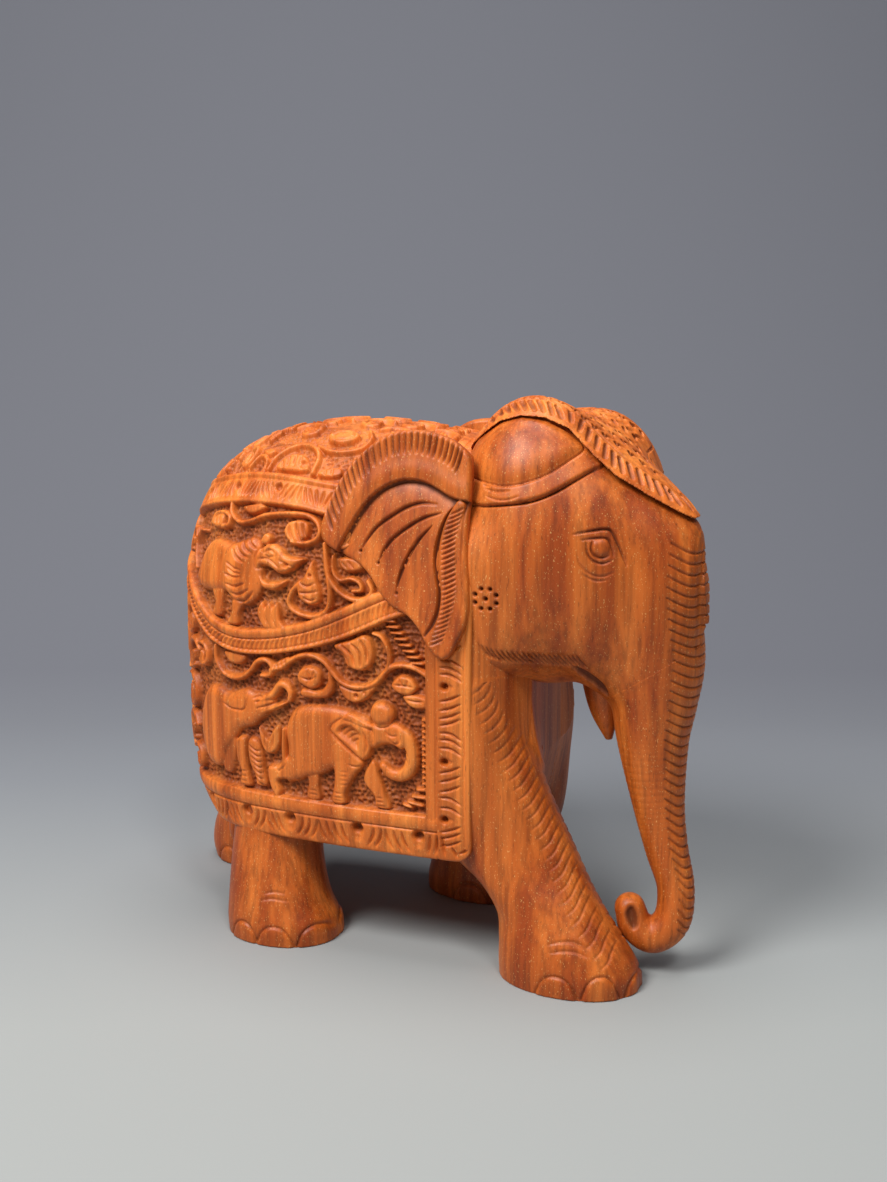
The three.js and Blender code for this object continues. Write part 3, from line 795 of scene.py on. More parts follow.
def carve_small_elephant(relief):
    """An elephant with a ball on its head, from its far legs to its near ones."""
    figure, roll, cuts = relief.figure, relief.roll, relief.cuts
    figure([(10.9, 49.5), (10.9, 46.4), (10.4, 42.6), (14.6, 42.6), (14.3, 46.4), (14.3, 50.5)], -0.7, 0.8)
    figure([(27.4, 50), (29.6, 55.2), (31.2, 55), (32.4, 51), (34, 46.4), (35.2, 42.8), (31, 42.8),
            (30.4, 45.8)], -0.5, 0.9)
    figure([(4.2, 61), (6.4, 66.2), (10, 68.3), (15, 69), (20, 69), (25, 68.2), (29.6, 66.4), (30.6, 60),
            (28.4, 55.2), (19.4, 51.8), (15, 49.7), (11, 48.5), (8, 47), (4.4, 46.4), (4.2, 50), (4.8, 56)],
           0.15, 3.0)
    figure([(18.8, 58), (18.9, 49), (18.1, 42.7), (22.5, 42.7), (22.6, 45.8), (25.2, 50.6), (28, 55.2),
            (24, 60)], 0.1, 1.6, line=0.15)
    figure([(-1.5, 50.2), (-1.6, 46.6), (-0.6, 43.6), (1.4, 41.2), (2.6, 43.6), (1.8, 46.4), (4, 47),
            (7.4, 48), (7.8, 53), (4.8, 53.6), (1.6, 51)], 0, 1.2, line=0.15)
    roll([(3.9, 61.2), (3.7, 56), (3.7, 52), (2.2, 50.2)], 0.75, 0.05, GROUND, 0.3, line=0.5)
    figure([(29.8, 58.8), (29.6, 65.2), (33.6, 66.6), (37.6, 66.4), (40.8, 63.8), (40.6, 60.8),
            (38.4, 59.2), (36, 60.2), (33, 60)], 0.1, 1.8)
    roll([(37.4, 64.8), (40.2, 62.4), (41.4, 58), (40.6, 54.4), (38.2, 52.4), (35.4, 52.6), (33.4, 54.4)],
         2.0, 0.1, GROUND, 0.35)
    figure([(18.7, 62.4), (20.6, 65.4), (23.6, 66.4), (27, 65.6), (30.2, 64), (30.4, 59.8), (28.9, 56.2),
            (27.6, 55.4), (24.6, 57.4)], 0.35, 1.2, line=0.7)
    relief.hollow([(20.2, 62.4), (22, 64.8), (25, 64.6), (27.6, 62.8), (27.2, 60.4), (26.4, 58.2),
                   (23.4, 60)], -0.6, 1.0)
    cuts([(21.4, 62.4), (22.4, 63.8), (23.8, 64.4)], [(22.4, 61.6), (23.8, 63), (25.4, 63.6)],
         [(23.6, 60.8), (25, 62), (26.6, 62.4)], [(24.8, 60), (25.8, 60.8), (26.8, 61)],
         half_width=0.32, depth=0.5)
    cuts([(18.4, 62.6), (22.6, 59), (27.8, 55.2)], [(28.2, 63.4), (29, 60), (28.4, 57)],
         half_width=0.45, depth=0.8)
    figure([(21.4, 66), (24, 68), (28, 66.6), (31, 65.4), (30.6, 64.2), (27.4, 64.4), (23.6, 65.6)],
           0.45, 0.8)
    figure([(29.6, 68.4), (30.6, 71), (33, 71.8), (35.8, 70.8), (36.8, 68.4), (35.4, 65.9), (32.6, 65),
            (30.4, 66.2)], 0.7, 2.2, line=0.8)
    cuts([(34, 64.4), (35.6, 63), (38, 63.2)], [(35.2, 62.2), (36.8, 60.9), (38.2, 61.6), (38, 63)],
         [(39.2, 58), (40.4, 56)], [(38.8, 60), (40.6, 57.6)], [(23.4, 53.9), (25.4, 53.6), (27.4, 53.9)],
         half_width=0.3, depth=0.5)
    for low, left, right in ((45.6, 19, 21.6), (44.4, 19, 21.8), (45.6, 31.2, 33.2), (44.5, 31, 33.6),
                             (45.2, 11.2, 13.8), (44, 11.2, 14), (43.6, 18.8, 22), (43.4, 31, 34.2)):
        relief.cut([(left, low), (right, low)], 0.25, 0.4)
    for q in (51.6, 50.4, 49.2, 48):
        relief.cut([(21, q), (23.4, q + 0.2)], 0.22, 0.3)
    for u in np.arange(10.6, 18.6, 0.8):
        relief.cut([(u, 54 - (u - 10) * 0.1), (u, 50.8 + (u - 10) * 0.05)], 0.2, 0.22)


def carve_panel_edge(relief):
    """Teeth and holes along the lower panel's front edge, and four leaves at its foot."""
    figure = relief.figure
    for i, q in enumerate(np.arange(48.6, 68.4, 1.55)):
        relief.hole((43.3 + 0.4 * (i % 2), q), 0.42, 0.7)
        figure([(44, q + 0.3), (45.6, q + 0.4), (45.6, q + 1.2), (44.2, q + 1.1)], -0.2, 0.4)
    for start, end in (((38.6, 44.6), (41.2, 43.2)), ((40, 45.4), (44.2, 43.9)), ((41.2, 47), (45.2, 46.1)),
                       ((42.4, 49), (45.4, 48.3))):
        figure([(start[0], start[1] + 0.4), (end[0], end[1] + 1.5), (end[0] + 0.2, end[1] + 0.4),
                (start[0] + 0.2, start[1] - 0.4)], -0.3, 0.5)


def carve_second_beast(relief):
    """The beast behind the small elephant, with its trunk raised."""
    figure, roll, cuts = relief.figure, relief.roll, relief.cuts
    figure([(-17.6, 57), (-19, 50), (-18, 46), (-14.6, 46), (-13.2, 51), (-13, 57)], -0.9, 1.0)
    figure([(-29, 57), (-27.6, 64), (-24, 69.2), (-19.6, 70.2), (-15, 69), (-11.6, 69.8), (-8, 71),
            (-5.4, 70.4), (-2, 70.4), (1, 68.8), (0.2, 66), (-4, 62.4), (-6.4, 60.4), (-10.4, 59.2),
            (-12.4, 56.8), (-15.2, 53), (-18.4, 47.6), (-22.6, 46.6), (-26.8, 49.6)], 0.1, 3.2)
    roll([(-3, 68.4), (0.6, 70.4), (2.6, 73), (4.6, 73.4), (6.2, 71.6), (6, 69.6)], 1.25, 0.1, GROUND, 0.3)
    roll([(-5.4, 64.2), (-1.4, 65.8), (2.4, 67.4), (4.6, 68.4)], 0.8, -0.1, GROUND, 0.7)
    cuts([(-5.6, 68.6), (-3.6, 69.4), (-2.2, 69)], [(-5, 67.6), (-3.2, 68.2)],
         [(-4.6, 66), (-1, 67.2), (2.6, 68.8)], [(-16.6, 66), (-13.4, 64.8), (-10, 65)],
         [(-7.4, 68.6), (-8.6, 65.4), (-11.6, 64.4)], half_width=0.35, depth=0.6)
    figure([(-12.6, 56), (-12.6, 51), (-11.2, 47.4), (-11.4, 43.4), (-7.4, 43.4), (-8.2, 46.8), (-8.9, 51),
            (-9, 57)], -0.3, 1.3, line=0.2)
    figure([(-8.2, 56.6), (-8.2, 51), (-6.2, 46.4), (-5.6, 44), (-2, 44.4), (-3, 49), (-3.2, 53.4),
            (-5.2, 57.2)], -0.3, 1.4, line=0.2)
    for i in range(7):
        q = 55.4 - 1.55 * i
        shift = 0.12 * i
        relief.cut([(-7.8 + shift * 3, q), (-5.6 + shift * 2, q - 1.4), (-3.6 + shift, q - 1.3)], 0.34, 0.6)
    for q in (47.6, 46.2, 44.8):
        relief.cut([(-10.8, q), (-8.6, q - 0.1)], 0.25, 0.4)
    figure([(-4.6, 60.8), (-3, 59.4), (-1.6, 57.8), (0.2, 60.4), (2, 61.8), (2.6, 58), (1.4, 54.8),
            (-1.4, 53.4), (-3.6, 55.8)], -0.4, 0.9)
    cuts([(-2.6, 58), (-2, 55)], [(0.6, 59.8), (0, 55.4)], half_width=0.35, depth=0.6)


def carve_upper_vine(relief):
    """The vine and the leaves over the upper panel's beast."""
    figure, roll, cuts, hole = relief.figure, relief.roll, relief.cuts, relief.hole
    roll([(-18, 121), (-16.6, 118.2), (-12.6, 116.2), (-8, 116.8), (-3, 118.6), (3, 119.4), (9, 119.4),
          (12.6, 118), (14.2, 115.4), (13.2, 113), (10, 111.8), (6, 112)], 0.85, 0, GROUND, 0.2)
    figure([(-12.6, 120.6), (-10, 118.8), (-6.4, 119), (-3.2, 120.8), (-6, 121.8)], -0.3, 0.7)
    roll([(-26, 115), (-25, 117.6), (-21, 118.4), (-17.6, 117.4), (-17.4, 115.2), (-20, 114.4)],
         0.8, -0.1, GROUND)
    figure([(-25.6, 114.4), (-24.4, 117.4), (-20.4, 117.8), (-19.6, 115.4), (-21.6, 113.8)], -0.2, 0.9)
    cuts([(-24, 117), (-23.6, 114.8)], [(-22.2, 117.4), (-21.8, 115)], half_width=0.35, depth=0.6)
    figure([(3.4, 114.6), (4.6, 117.2), (8, 118), (10.8, 117), (10.8, 113.6), (8, 111.6), (5, 112.2)],
           0, 0.9)
    cuts([(5, 116.4), (5.6, 114), (7, 112)], [(7, 117.4), (7.6, 114.6), (9, 112)],
         [(9, 117.4), (9.6, 115), (10.6, 113)], half_width=0.5, depth=0.9)
    for spot in ((11.4, 116.4), (12.8, 115.2), (5, 118.3), (9.6, 118.3)):
        hole(spot, 0.42, 0.6)


def carve_maned_beast(relief):
    """A beast that looks forward, with a ribbed neck."""
    figure, roll, cuts, hole = relief.figure, relief.roll, relief.cuts, relief.hole
    figure([(-21.4, 97), (-20.2, 93.6), (-21.4, 90.2), (-17.4, 90), (-16.8, 94), (-16.4, 98)], -0.6, 0.9)
    figure([(-12.8, 95), (-13.4, 91.4), (-15, 89), (-14.4, 88), (-10.8, 88.2), (-10.4, 91), (-8.6, 94.6)],
           -0.4, 1.0)
    figure([(-30.4, 98.8), (-29.4, 103), (-27.2, 107.4), (-23.6, 110.6), (-19, 111.2), (-14, 110.4),
            (-10, 111.6), (-6, 112.8), (-3, 110), (-2.4, 104), (-2.2, 99.6), (-4, 96), (-7.4, 93.8),
            (-12, 94.4), (-16, 96.8), (-21, 96.4), (-26.4, 96.4)], 0.1, 3.0)
    roll([(-31.4, 101.6), (-33.6, 105), (-35, 109), (-33, 112), (-30, 112.4)], 0.8, -0.3, GROUND, 0.4)
    figure([(-3.6, 111.6), (-2.4, 113.8), (-0.4, 113.2), (-0.6, 111.2), (-2.2, 110.4)], 0, 0.7)
    figure([(-4.4, 107.4), (-2.6, 110.2), (0.6, 111.2), (3.4, 109.9), (5.4, 108.3), (10.4, 107.8),
            (8.4, 105.8), (6.2, 104.2), (3, 103.2), (0.4, 104.4), (-2, 105), (-4.2, 104.4)],
           0.35, 1.3, line=0.5)
    figure([(-3.8, 103.4), (-1.4, 101.2), (2, 101.2), (5.4, 101.8), (3.4, 99.4), (0, 98.6), (-2.8, 99.6)],
           0.1, 1.0)
    hole((5, 105.6), 0.6, 1.1, 0.3)
    hole((0.6, 103), 0.9, 0.6, 0.6)
    cuts([(3, 106.8), (5.4, 106), (7.2, 105.4)], [(-1.6, 108.4), (0, 109.4), (1.8, 108.4)],
         [(-1.4, 108), (0.2, 107.4), (1.6, 108)], [(-4, 106.6), (-0.6, 107), (3.2, 104.8)],
         [(-3.2, 110), (-2, 108.6)], half_width=0.32, depth=0.6)
    cuts([(-13.4, 108.8), (-11.4, 106.4), (-8.6, 105.4)], [(-15.2, 105), (-12.6, 103.6), (-9.6, 103.2)],
         [(-15.6, 101.9), (-12.6, 101.1), (-9.4, 101.5)], [(-15, 99.2), (-11.6, 98.6), (-8, 99.9)],
         [(-13.2, 96.9), (-10, 96.6), (-6.6, 98.4)], [(-10.6, 94.9), (-7.8, 95.3), (-5, 98)],
         [(-12.4, 110), (-10, 107.6), (-7, 106.8)], [(-10.2, 111.2), (-8.4, 109), (-5.8, 108)],
         [(-8, 112.2), (-6.6, 110.4), (-4.6, 109.4)], [(-14.6, 103.6), (-12.4, 102.4), (-9.4, 102.3)],
         half_width=0.5, depth=0.75)


def carve_stems(relief):
    """A leaf of three fingers, a bud in a cup on its stem, and loops beside the ear."""
    figure, roll, cuts, hole = relief.figure, relief.roll, relief.cuts, relief.hole
    for shift in (0, 2.3, 4.5):
        figure([(-4 + shift, 92.4), (-2.4 + shift, 95.6), (-1.3 + shift, 94), (-0.8 + shift, 91),
                (0.9 + shift, 88.6), (-1.8 + shift, 88.3)], 0, 0.8)
    roll([(9.4, 101.4), (7, 99), (6, 96), (7.6, 93.8), (11.4, 92.7), (15, 93), (17.6, 95), (18.2, 99),
          (17.4, 104), (16.6, 108), (16, 112)], 0.85, -0.05, GROUND)
    figure([(8.4, 100.6), (10.4, 103.4), (12.6, 107.6), (14, 103.4), (15.4, 99.4), (15.2, 96.6),
            (12.4, 95.6), (9.2, 97)], 0.1, 1.2)
    cuts([(9.6, 101.4), (11.6, 100.6), (14, 101.6)], [(9.2, 98.8), (12, 98.9), (15, 99.5)],
         [(10.6, 97.6), (12.6, 96.9), (14.6, 97.6)], half_width=0.38, depth=0.7)
    hole((12.4, 103.4), 0.5, 0.8)
    roll([(16.2, 111), (16.8, 106), (18.4, 102.2), (21.4, 99.4), (25, 98), (28.4, 98.4), (30.2, 100.6),
          (29, 103)], 0.85, -0.05, GROUND, 0.2)
    roll([(18.6, 109), (19, 105), (21, 102.8), (24, 103.4), (26.6, 102.4), (27, 100.6), (24.6, 100.2)],
         0.7, -0.2, GROUND, 0.3)
    figure([(20, 108.4), (22, 105.4), (25, 105.2), (27.6, 106.4), (25, 108.8)], -0.4, 0.9)
    cuts([(21, 107.8), (23, 105.8)], [(23, 108), (25, 105.8)], half_width=0.35, depth=0.6)
    for q in np.arange(82.6, 95, 1.5):  # a comb below the ear's tip
        left = 45 - 0.75 * (q - 82)
        figure([(left - 3.6, q + 0.2), (left, q + 0.5), (left, q - 0.4), (left - 3.6, q - 0.3)], -0.4, 0.4)


def scroll(relief, place, size, turn, way=1, top=-0.1, base=GROUND):
    """A curling stem with a fluted leaf inside it."""
    angles = np.linspace(0, 1.5 * math.pi, 9)
    radii = size * (1 - 0.55 * angles / angles[-1])
    spiral = [(place[0] + r * math.cos(turn + way * a), place[1] + r * math.sin(turn + way * a))
              for a, r in zip(angles, radii)]
    relief.roll(spiral, 0.16 * size + 0.25, top, base, 0.3)
    spin = turn + way * 0.4
    ahead, side = np.array([math.cos(spin), math.sin(spin)]), np.array([-math.sin(spin), math.cos(spin)])
    middle = np.array(place) - ahead * 0.05 * size
    leaf = [(0.5, 0), (0.15, 0.32), (-0.4, 0.3), (-0.5, 0), (-0.3, -0.28), (0.2, -0.3)]
    relief.figure([middle + size * (a * ahead + b * side) for a, b in leaf], top, 0.7, base)
    for b in (-0.12, 0.1):
        start = middle + size * (0.35 * ahead + b * side)
        relief.cut([start, start - size * 0.65 * ahead], 0.3, 0.55)


def carve_back(relief):
    """Scrollwork over the back, round a medallion and an arch."""
    figure, roll, cuts, hole = relief.figure, relief.roll, relief.cuts, relief.hole
    roll([(-5.6, 131.4), (-3.8, 135.6), (-0.4, 138.9), (4, 140.2), (8, 138.8), (9.8, 135.4), (9.2, 131)],
         0.8, 0.15, BACK_GROUND)
    figure([(-2.6, 132), (-1.2, 135.4), (2, 137), (5.4, 136.4), (7.4, 133.8), (7.6, 131.4), (2, 131.2)],
           0.1, 0.9, BACK_GROUND)
    cuts([(-1.2, 134.6), (-0.4, 132.2)], [(0.8, 136), (1.2, 132.4)], [(2.8, 136.6), (3, 132.6)],
         [(4.6, 136), (4.6, 133)], half_width=0.4, depth=0.7)
    hole((6.1, 133.4), 1.1, 1.0, 0.35)
    figure([(9.8, 143.8), (11, 146), (14.4, 147), (18, 146), (19.2, 143.8), (17.6, 141.6), (14.4, 140.7),
            (11.2, 141.5)], 0.35, 1.0, BACK_GROUND, line=0.5)
    relief.cut([(11.4, 143.8), (13, 142.4), (16, 142.4), (17.6, 143.8), (16, 145.3), (13, 145.3),
                (11.4, 143.8)], 0.3, 0.35, 0)
    roll([(8.6, 139.8), (13, 138.1), (18, 138.3), (21.6, 140), (22.6, 143.6), (21, 147.4)],
         0.8, 0.15, BACK_GROUND, 0.2)
    figure([(10.6, 130.8), (12.6, 132.4), (17, 133), (18, 130.6), (14, 129.8)], 0, 0.7, BACK_GROUND)
    cuts([(13, 132.2), (13.2, 130.4)], [(15, 132.6), (15.2, 130.6)], half_width=0.35, depth=0.6)
    figure([(-13.4, 137.4), (-9, 139), (-4.8, 137.6), (-8.6, 136)], 0.1, 0.8, BACK_GROUND)
    roll([(-16, 132), (-13, 136), (-8, 134.6), (-7, 131.6)], 0.8, 0.1, BACK_GROUND, 0.3)
    hole((-12, 132.8), 1.4, 0.8, 0.5)
    hole((-27.4, 132), 1.5, 0.9, 0.5)
    cuts([(-16, 139), (-9, 141.4), (-2, 141.6)], half_width=0.5, depth=0.6)
    for place, size, turn, way in (
        ((-21, 135), 4.5, 2.2, -1), ((-33, 133), 4.8, 0.4, 1), ((-44, 130), 4.5, 2.6, -1),
        ((-54, 126), 4.2, 0.2, 1), ((-15, 145.4), 5.2, 0.6, 1), ((-28, 143.4), 5.5, 2.4, -1),
        ((-41, 141), 5.2, 0.3, 1), ((-53, 138), 5.0, 2.4, -1), ((2, 147.4), 5.2, 2.8, -1),
        ((7, 154.6), 5.0, 0.4, 1), ((-8, 153), 5.0, 2.4, 1), ((20, 153.6), 5.2, 0.6, 1),
        ((28, 146), 5.2, 2.6, -1), ((31, 155), 5.2, 0.3, 1), ((40, 149), 5.0, 2.2, -1),
        ((27, 136.6), 5.5, 0.5, 1), ((38.6, 138.6), 5.5, 2.4, -1), ((41.6, 157), 4.2, 0.4, 1),
        ((36, 131), 3.2, 2.4, -1),
    ):
        scroll(relief, place, size, turn, way, 0.1, BACK_GROUND)


def carve_hidden(relief):
    """Scrolls on the rump and behind the ears, where the panels run on."""
    for place, size, turn, way in (
        ((-34, 76), 5.8, 0.5, 1), ((-45, 79), 5.8, 2.4, -1), ((-55.4, 80), 5.2, 0.4, 1),
        ((-27, 77.4), 4.0, 2.2, -1), ((-37, 65), 6.0, 2.2, -1), ((-49, 67.4), 6.0, 0.6, 1),
        ((-37.4, 54), 6.0, 0.4, 1), ((-49.6, 55.4), 6.0, 2.6, -1), ((-33, 46.6), 4.2, 2.4, -1),
        ((-43.6, 46.4), 4.2, 0.4, 1), ((-55, 46.6), 4.5, 2.6, -1), ((-57, 61.4), 4.2, 0.4, 1),
        ((-36, 86.4), 4.8, 2.4, 1), ((-48, 90.4), 5.2, 0.4, -1), ((-57.4, 92.4), 4.2, 2.4, 1),
        ((-40, 108), 4.8, 0.4, 1), ((-50, 111), 4.0, 2.4, -1), ((22, 114), 4.8, 0.5, 1),
        ((32, 112.4), 5.5, 2.4, -1), ((41.4, 112), 5.0, 0.4, 1), ((37, 105.4), 3.8, 2.2, -1),
    ):
        scroll(relief, place, size, turn, way)


def carved_cloth():
    """All the carving of one side of the saddle cloth."""
    relief = Relief((-60.4, 29), (58.2, 163.5), 0.12)
    for carve in (sink_panels, carve_hidden, carve_back, carve_rope, carve_front_border, carve_hem,
                  carve_back_band, carve_vine, carve_buds, carve_small_elephant, carve_panel_edge,
                  carve_second_beast, carve_upper_vine, carve_maned_beast, carve_stems):
        carve(relief)
    relief.stipple(GROUND + 0.35, spacing=1.35, radius=0.36, depth=0.9)
    relief.stipple(BACK_GROUND + 0.25, spacing=1.6, radius=0.35, depth=0.5, seed=11)
    relief.height = np.maximum(relief.height, DEEPEST)
    relief.soften()
    return relief


HOLLOW_FULL = 3.0       # depth in mm at which the painted shade in a recess is at its darkest
SKIP = 4                # the plain inside of the cloth has one quad for this many carved ones each way
SPINE_TOP = 158         # q of the spine, near enough to share out the rows
POLE_FADE, POLE_HEIGHT = 3.0, -0.4      # behind the rump's start the carving fades out round the spine's end


def cloth_sheet(relief):
    """Points of the carved outside and of the plain inside, on the right, as (back from the front, up)."""
    half = SKIP * math.ceil((CLOTH_FRONT - U_REAR) / CLOTH_STEP / SKIP)
    rows = SKIP * math.ceil((SPINE_TOP - HEM_HEIGHT) / CLOTH_STEP / SKIP)
    u = np.linspace(CLOTH_FRONT, U_REAR, half + 1)
    spine = spine_at(u)
    past = np.maximum(u - CLOTH_FRONT + CORNER_ROUND, 0)
    corner = CORNER_ROUND - np.sqrt(np.maximum(CORNER_ROUND**2 - past**2, 0))
    q = HEM_HEIGHT + np.linspace(0, 1, rows + 1)[None, :] * (spine - HEM_HEIGHT)[:, None]
    q = q + corner[:, None] * np.clip(1 - (q - HEM_HEIGHT) / CORNER_FADE, 0, 1)
    flat_u, flat_q, top = np.repeat(u, rows + 1), q.ravel(), np.repeat(spine, rows + 1)
    points = cloth_point(flat_u, flat_q, top)
    normal = unit(slope(cloth_outside, points, 0.2))
    height = relief.at(flat_u, flat_q)
    pole = np.clip((top - flat_q) / POLE_FADE, 0, 1)
    pole = np.maximum(pole, np.clip((flat_u - RUMP_START) / POLE_FADE, 0, 1))
    height = POLE_HEIGHT + (height - POLE_HEIGHT) * pole
    for gap, radius in ((flat_q - HEM_HEIGHT - np.repeat(corner, rows + 1), HEM_ROUND),
                        (CLOTH_FRONT - flat_u, EDGE_ROUND)):
        height -= radius - np.sqrt(radius**2 - np.clip(radius - gap, 0, radius) ** 2)
    outer = (points + normal * height[:, None]).reshape(half + 1, rows + 1, 3)
    inner = (points - normal * CLOTH_THICK).reshape(half + 1, rows + 1, 3)[::SKIP, ::SKIP]
    # The last value is how deep each point lies in the carving, for the painted shade there
    return outer, inner, np.clip(-height / HOLLOW_FULL, 0, 1).reshape(half + 1, rows + 1)


def both_sides(sheet, first):
    """Corners of a sheet and its mirror image, joined down the rear and along the spine, and the numbers of
    the corners on each side."""
    sheet = sheet.copy()
    sheet[-1, :, 1] = 0
    sheet[:, -1, 1] = 0
    right = np.arange(sheet[..., 0].size).reshape(sheet.shape[:2])
    mirrored = sheet[:-1, :-1] * np.array([1, -1, 1])
    left = right.copy()
    left[:-1, :-1] = right.size + np.arange(mirrored[..., 0].size).reshape(mirrored.shape[:2])
    points = np.concatenate([sheet.reshape(-1, 3), mirrored.reshape(-1, 3)])
    fan = np.abs(sheet[:, -1, 0] - sheet[-1, -1, 0]) < 1e-3
    pole = right[-1, -1]
    for numbers in (right, left):
        numbers[fan, -1] = pole
    return points, right + first, left + first


def sheet_faces(numbers, flip):
    """Quads of a grid of corners, with triangles where its top row comes down to one corner."""
    quads = np.stack([numbers[:-1, :-1], numbers[1:, :-1], numbers[1:, 1:], numbers[:-1, 1:]],
                     -1).reshape(-1, 4)
    pinched = quads[:, 2] == quads[:, 3]
    triangles, quads = quads[pinched][:, :3], quads[~pinched]
    return (triangles[:, ::-1], quads[:, ::-1]) if flip else (triangles, quads)


def make_cloth(relief):
    """The cloth as one closed shell: the carved sheet outside, a plain one inside, joined round the rim."""
    outer, inner, hollow = cloth_sheet(relief)
    outside, right, left = both_sides(outer, 0)
    inside, inner_right, inner_left = both_sides(inner, len(outside))
    faces = [*sheet_faces(right, False), *sheet_faces(left, True),
             *sheet_faces(inner_right, True), *sheet_faces(inner_left, False)]
    rims = []
    for a, b in ((right, left), (inner_right, inner_left)):
        down, along = a[0, ::-1], a[1:, 0]
        rims.append(np.concatenate([down, along, b[:-1, 0][::-1], b[0, 1:]]))
    outer_rim, inner_rim = rims
    count = len(inner_rim) - 1
    strips = [outer_rim[np.arange(count) * SKIP + k] for k in range(SKIP, -1, -1)]
    faces.append(np.stack([*strips, inner_rim[:-1], inner_rim[1:]], 1))
    hollow = np.concatenate([hollow.ravel(), hollow[:-1, :-1].ravel(), np.zeros(len(inside))])
    return np.concatenate([outside, inside]), faces, hollow


# ---------------------------------------------------------------- carved lines on the smooth forms, as (X, Z)
LINE_FULL = 0.9         # depth in mm at which the painted shade in an incised line is at its darkest
EAR_LINE_FULL = 0.55    # the same on the ears, from the average around it
EAR_ROUND = 1.1         # radius of the ears' rims
EAR_HEART = (43.0, 112.0)
ROSETTE = (60.9, 100.4)
NOSE_FRONT = 110.9      # the notches' outer ends stay behind this station
TRUNK_FRONT, WRAP = 101, 2.5    # in front of these the strokes run right round the trunk
FADE_STEEP = 5          # how fast a side's lines fade where the surface turns away
EAR_OUTLINE = [
    (55.5, 134), (54.4, 136.6), (50, 139.8), (45, 141.4), (40, 142), (34, 141.2), (29, 138.6),
    (24.4, 134.8), (20.5, 130), (17.4, 124), (15.4, 118), (15, 114.8), (16.6, 112.2), (21, 109.7),
    (26, 107.4), (29.6, 104.4), (33, 99.8), (36.4, 96.9), (40.5, 95), (43.6, 92.2), (46, 88.6),
    (48.4, 85.8), (50.8, 84.6), (52.8, 85.6), (54.2, 88.4), (56, 92.6), (57, 97), (56.6, 104), (55.8, 112),
    (55.4, 120), (55.8, 127),
]


def carve_lens(relief):
    """The raised lens over the brow, in its strap."""
    relief.figure([(50, 124), (57, 123.2), (62, 123.6), (68, 124.4), (73, 125.5), (77, 127.4), (81, 129.9),
                   (84, 132), (86.4, 133.4), (83.4, 137.4), (80, 140.4), (76, 143.4), (71, 145.8),
                   (66, 147), (60, 146), (50, 142)], 0.75, 1.0, 0.0, line=0.3)
    relief.figure([(50, 131), (55, 129.7), (60, 128.8), (65, 128.5), (70, 129.5), (75, 131.6), (79, 134.6),
                   (81.3, 137.2), (78, 140.4), (74, 142.8), (70, 144.4), (66, 145.1), (62, 144.3),
                   (58, 142.2), (52, 139)], 1.9, 7.0, 0.1, line=0.75)
    relief.cuts([(55.6, 123.6), (58, 123.1), (64, 123.8), (71, 124.9), (77, 127.2), (82, 130.5),
                 (86.2, 133.2)], half_width=0.45, depth=0.9)
    relief.cuts([(59, 127.3), (62.4, 126.8), (66.2, 127.2)],
                [(60, 125.5), (63, 124.9), (66, 125.1), (68.6, 126)], [(58.6, 128), (60.6, 127.9)],
                half_width=0.3, depth=0.5)


def carve_eye(relief):
    """The eyeball, its lids and the creases round them."""
    relief.figure([(86.6, 115), (87, 112.8), (88.6, 111.9), (90.2, 112.6), (90.6, 114.4), (89.8, 116),
                   (88, 116.2)], 0.6, 1.6, -0.2)
    relief.cuts([(82.2, 117.3), (86, 118.1), (89, 118.5), (90.4, 118.2), (91.4, 116.8), (92.8, 113.8),
                 (94.5, 109.5)], half_width=0.42, depth=0.95)
    relief.cuts([(84.1, 115.9), (86.6, 116.3), (89.2, 116.4), (90.4, 115.6), (91.2, 113.6), (91.5, 111.8)],
                [(85.3, 115.6), (85.6, 113), (87, 110.9), (89.2, 110.2), (91.2, 110.9)],
                [(86.7, 115.8), (86.5, 113.6), (87.5, 112), (89.2, 111.6), (90.6, 112.2)],
                half_width=0.36, depth=0.75)
    relief.cuts([(83.3, 113), (84.2, 109.9), (86.6, 107.6), (89.2, 107), (91.8, 108)],
                [(84.6, 107.6), (87.4, 106.1), (90.4, 106.1)], half_width=0.4, depth=0.4)


def carve_rosette(relief):
    """A ring of drilled holes round one more."""
    relief.hole(ROSETTE, 0.5, 1.5)
    for k in range(8):
        angle = math.radians(22.5 + 45 * k)
        relief.hole((ROSETTE[0] + 3.0 * math.cos(angle), ROSETTE[1] + 2.7 * math.sin(angle)), 0.46, 1.4)


def carve_jaw(relief):
    """A row of slanting strokes along the jaw."""
    for i in range(21):
        x = 58.4 + 1.2 * i
        top = np.interp(i, (0, 3, 8, 14, 20), (88.9, 87.6, 86.9, 86.3, 86.4))
        relief.cut([(x, top), (x + 0.8, top - 1.8), (x + 2.3, top - 3.7)], 0.34, 0.7)


def carve_mouth(relief):
    """The deep line at the corner of the mouth."""
    relief.cut([(80.6, 83), (83.6, 80.6), (86.6, 77.4), (88.4, 73.6)], 1.5, 1.5, 0.9)


def carved_head():
    """Both sides of the head."""
    relief = Relief((42, 58), (116, 154), 0.12)
    for carve in (carve_lens, carve_eye, carve_rosette, carve_jaw, carve_mouth, carve_trunk_notches):
        carve(relief)
    relief.soften()
    return relief


def front_of_trunk(z):
    """Station of the trunk's front edge at a height."""
    hanging = TRUNK_ROWS[:8]
    heights, fronts = zip(*sorted((height, station + radius) for station, _, height, radius in hanging))
    return np.interp(z, heights, fronts)


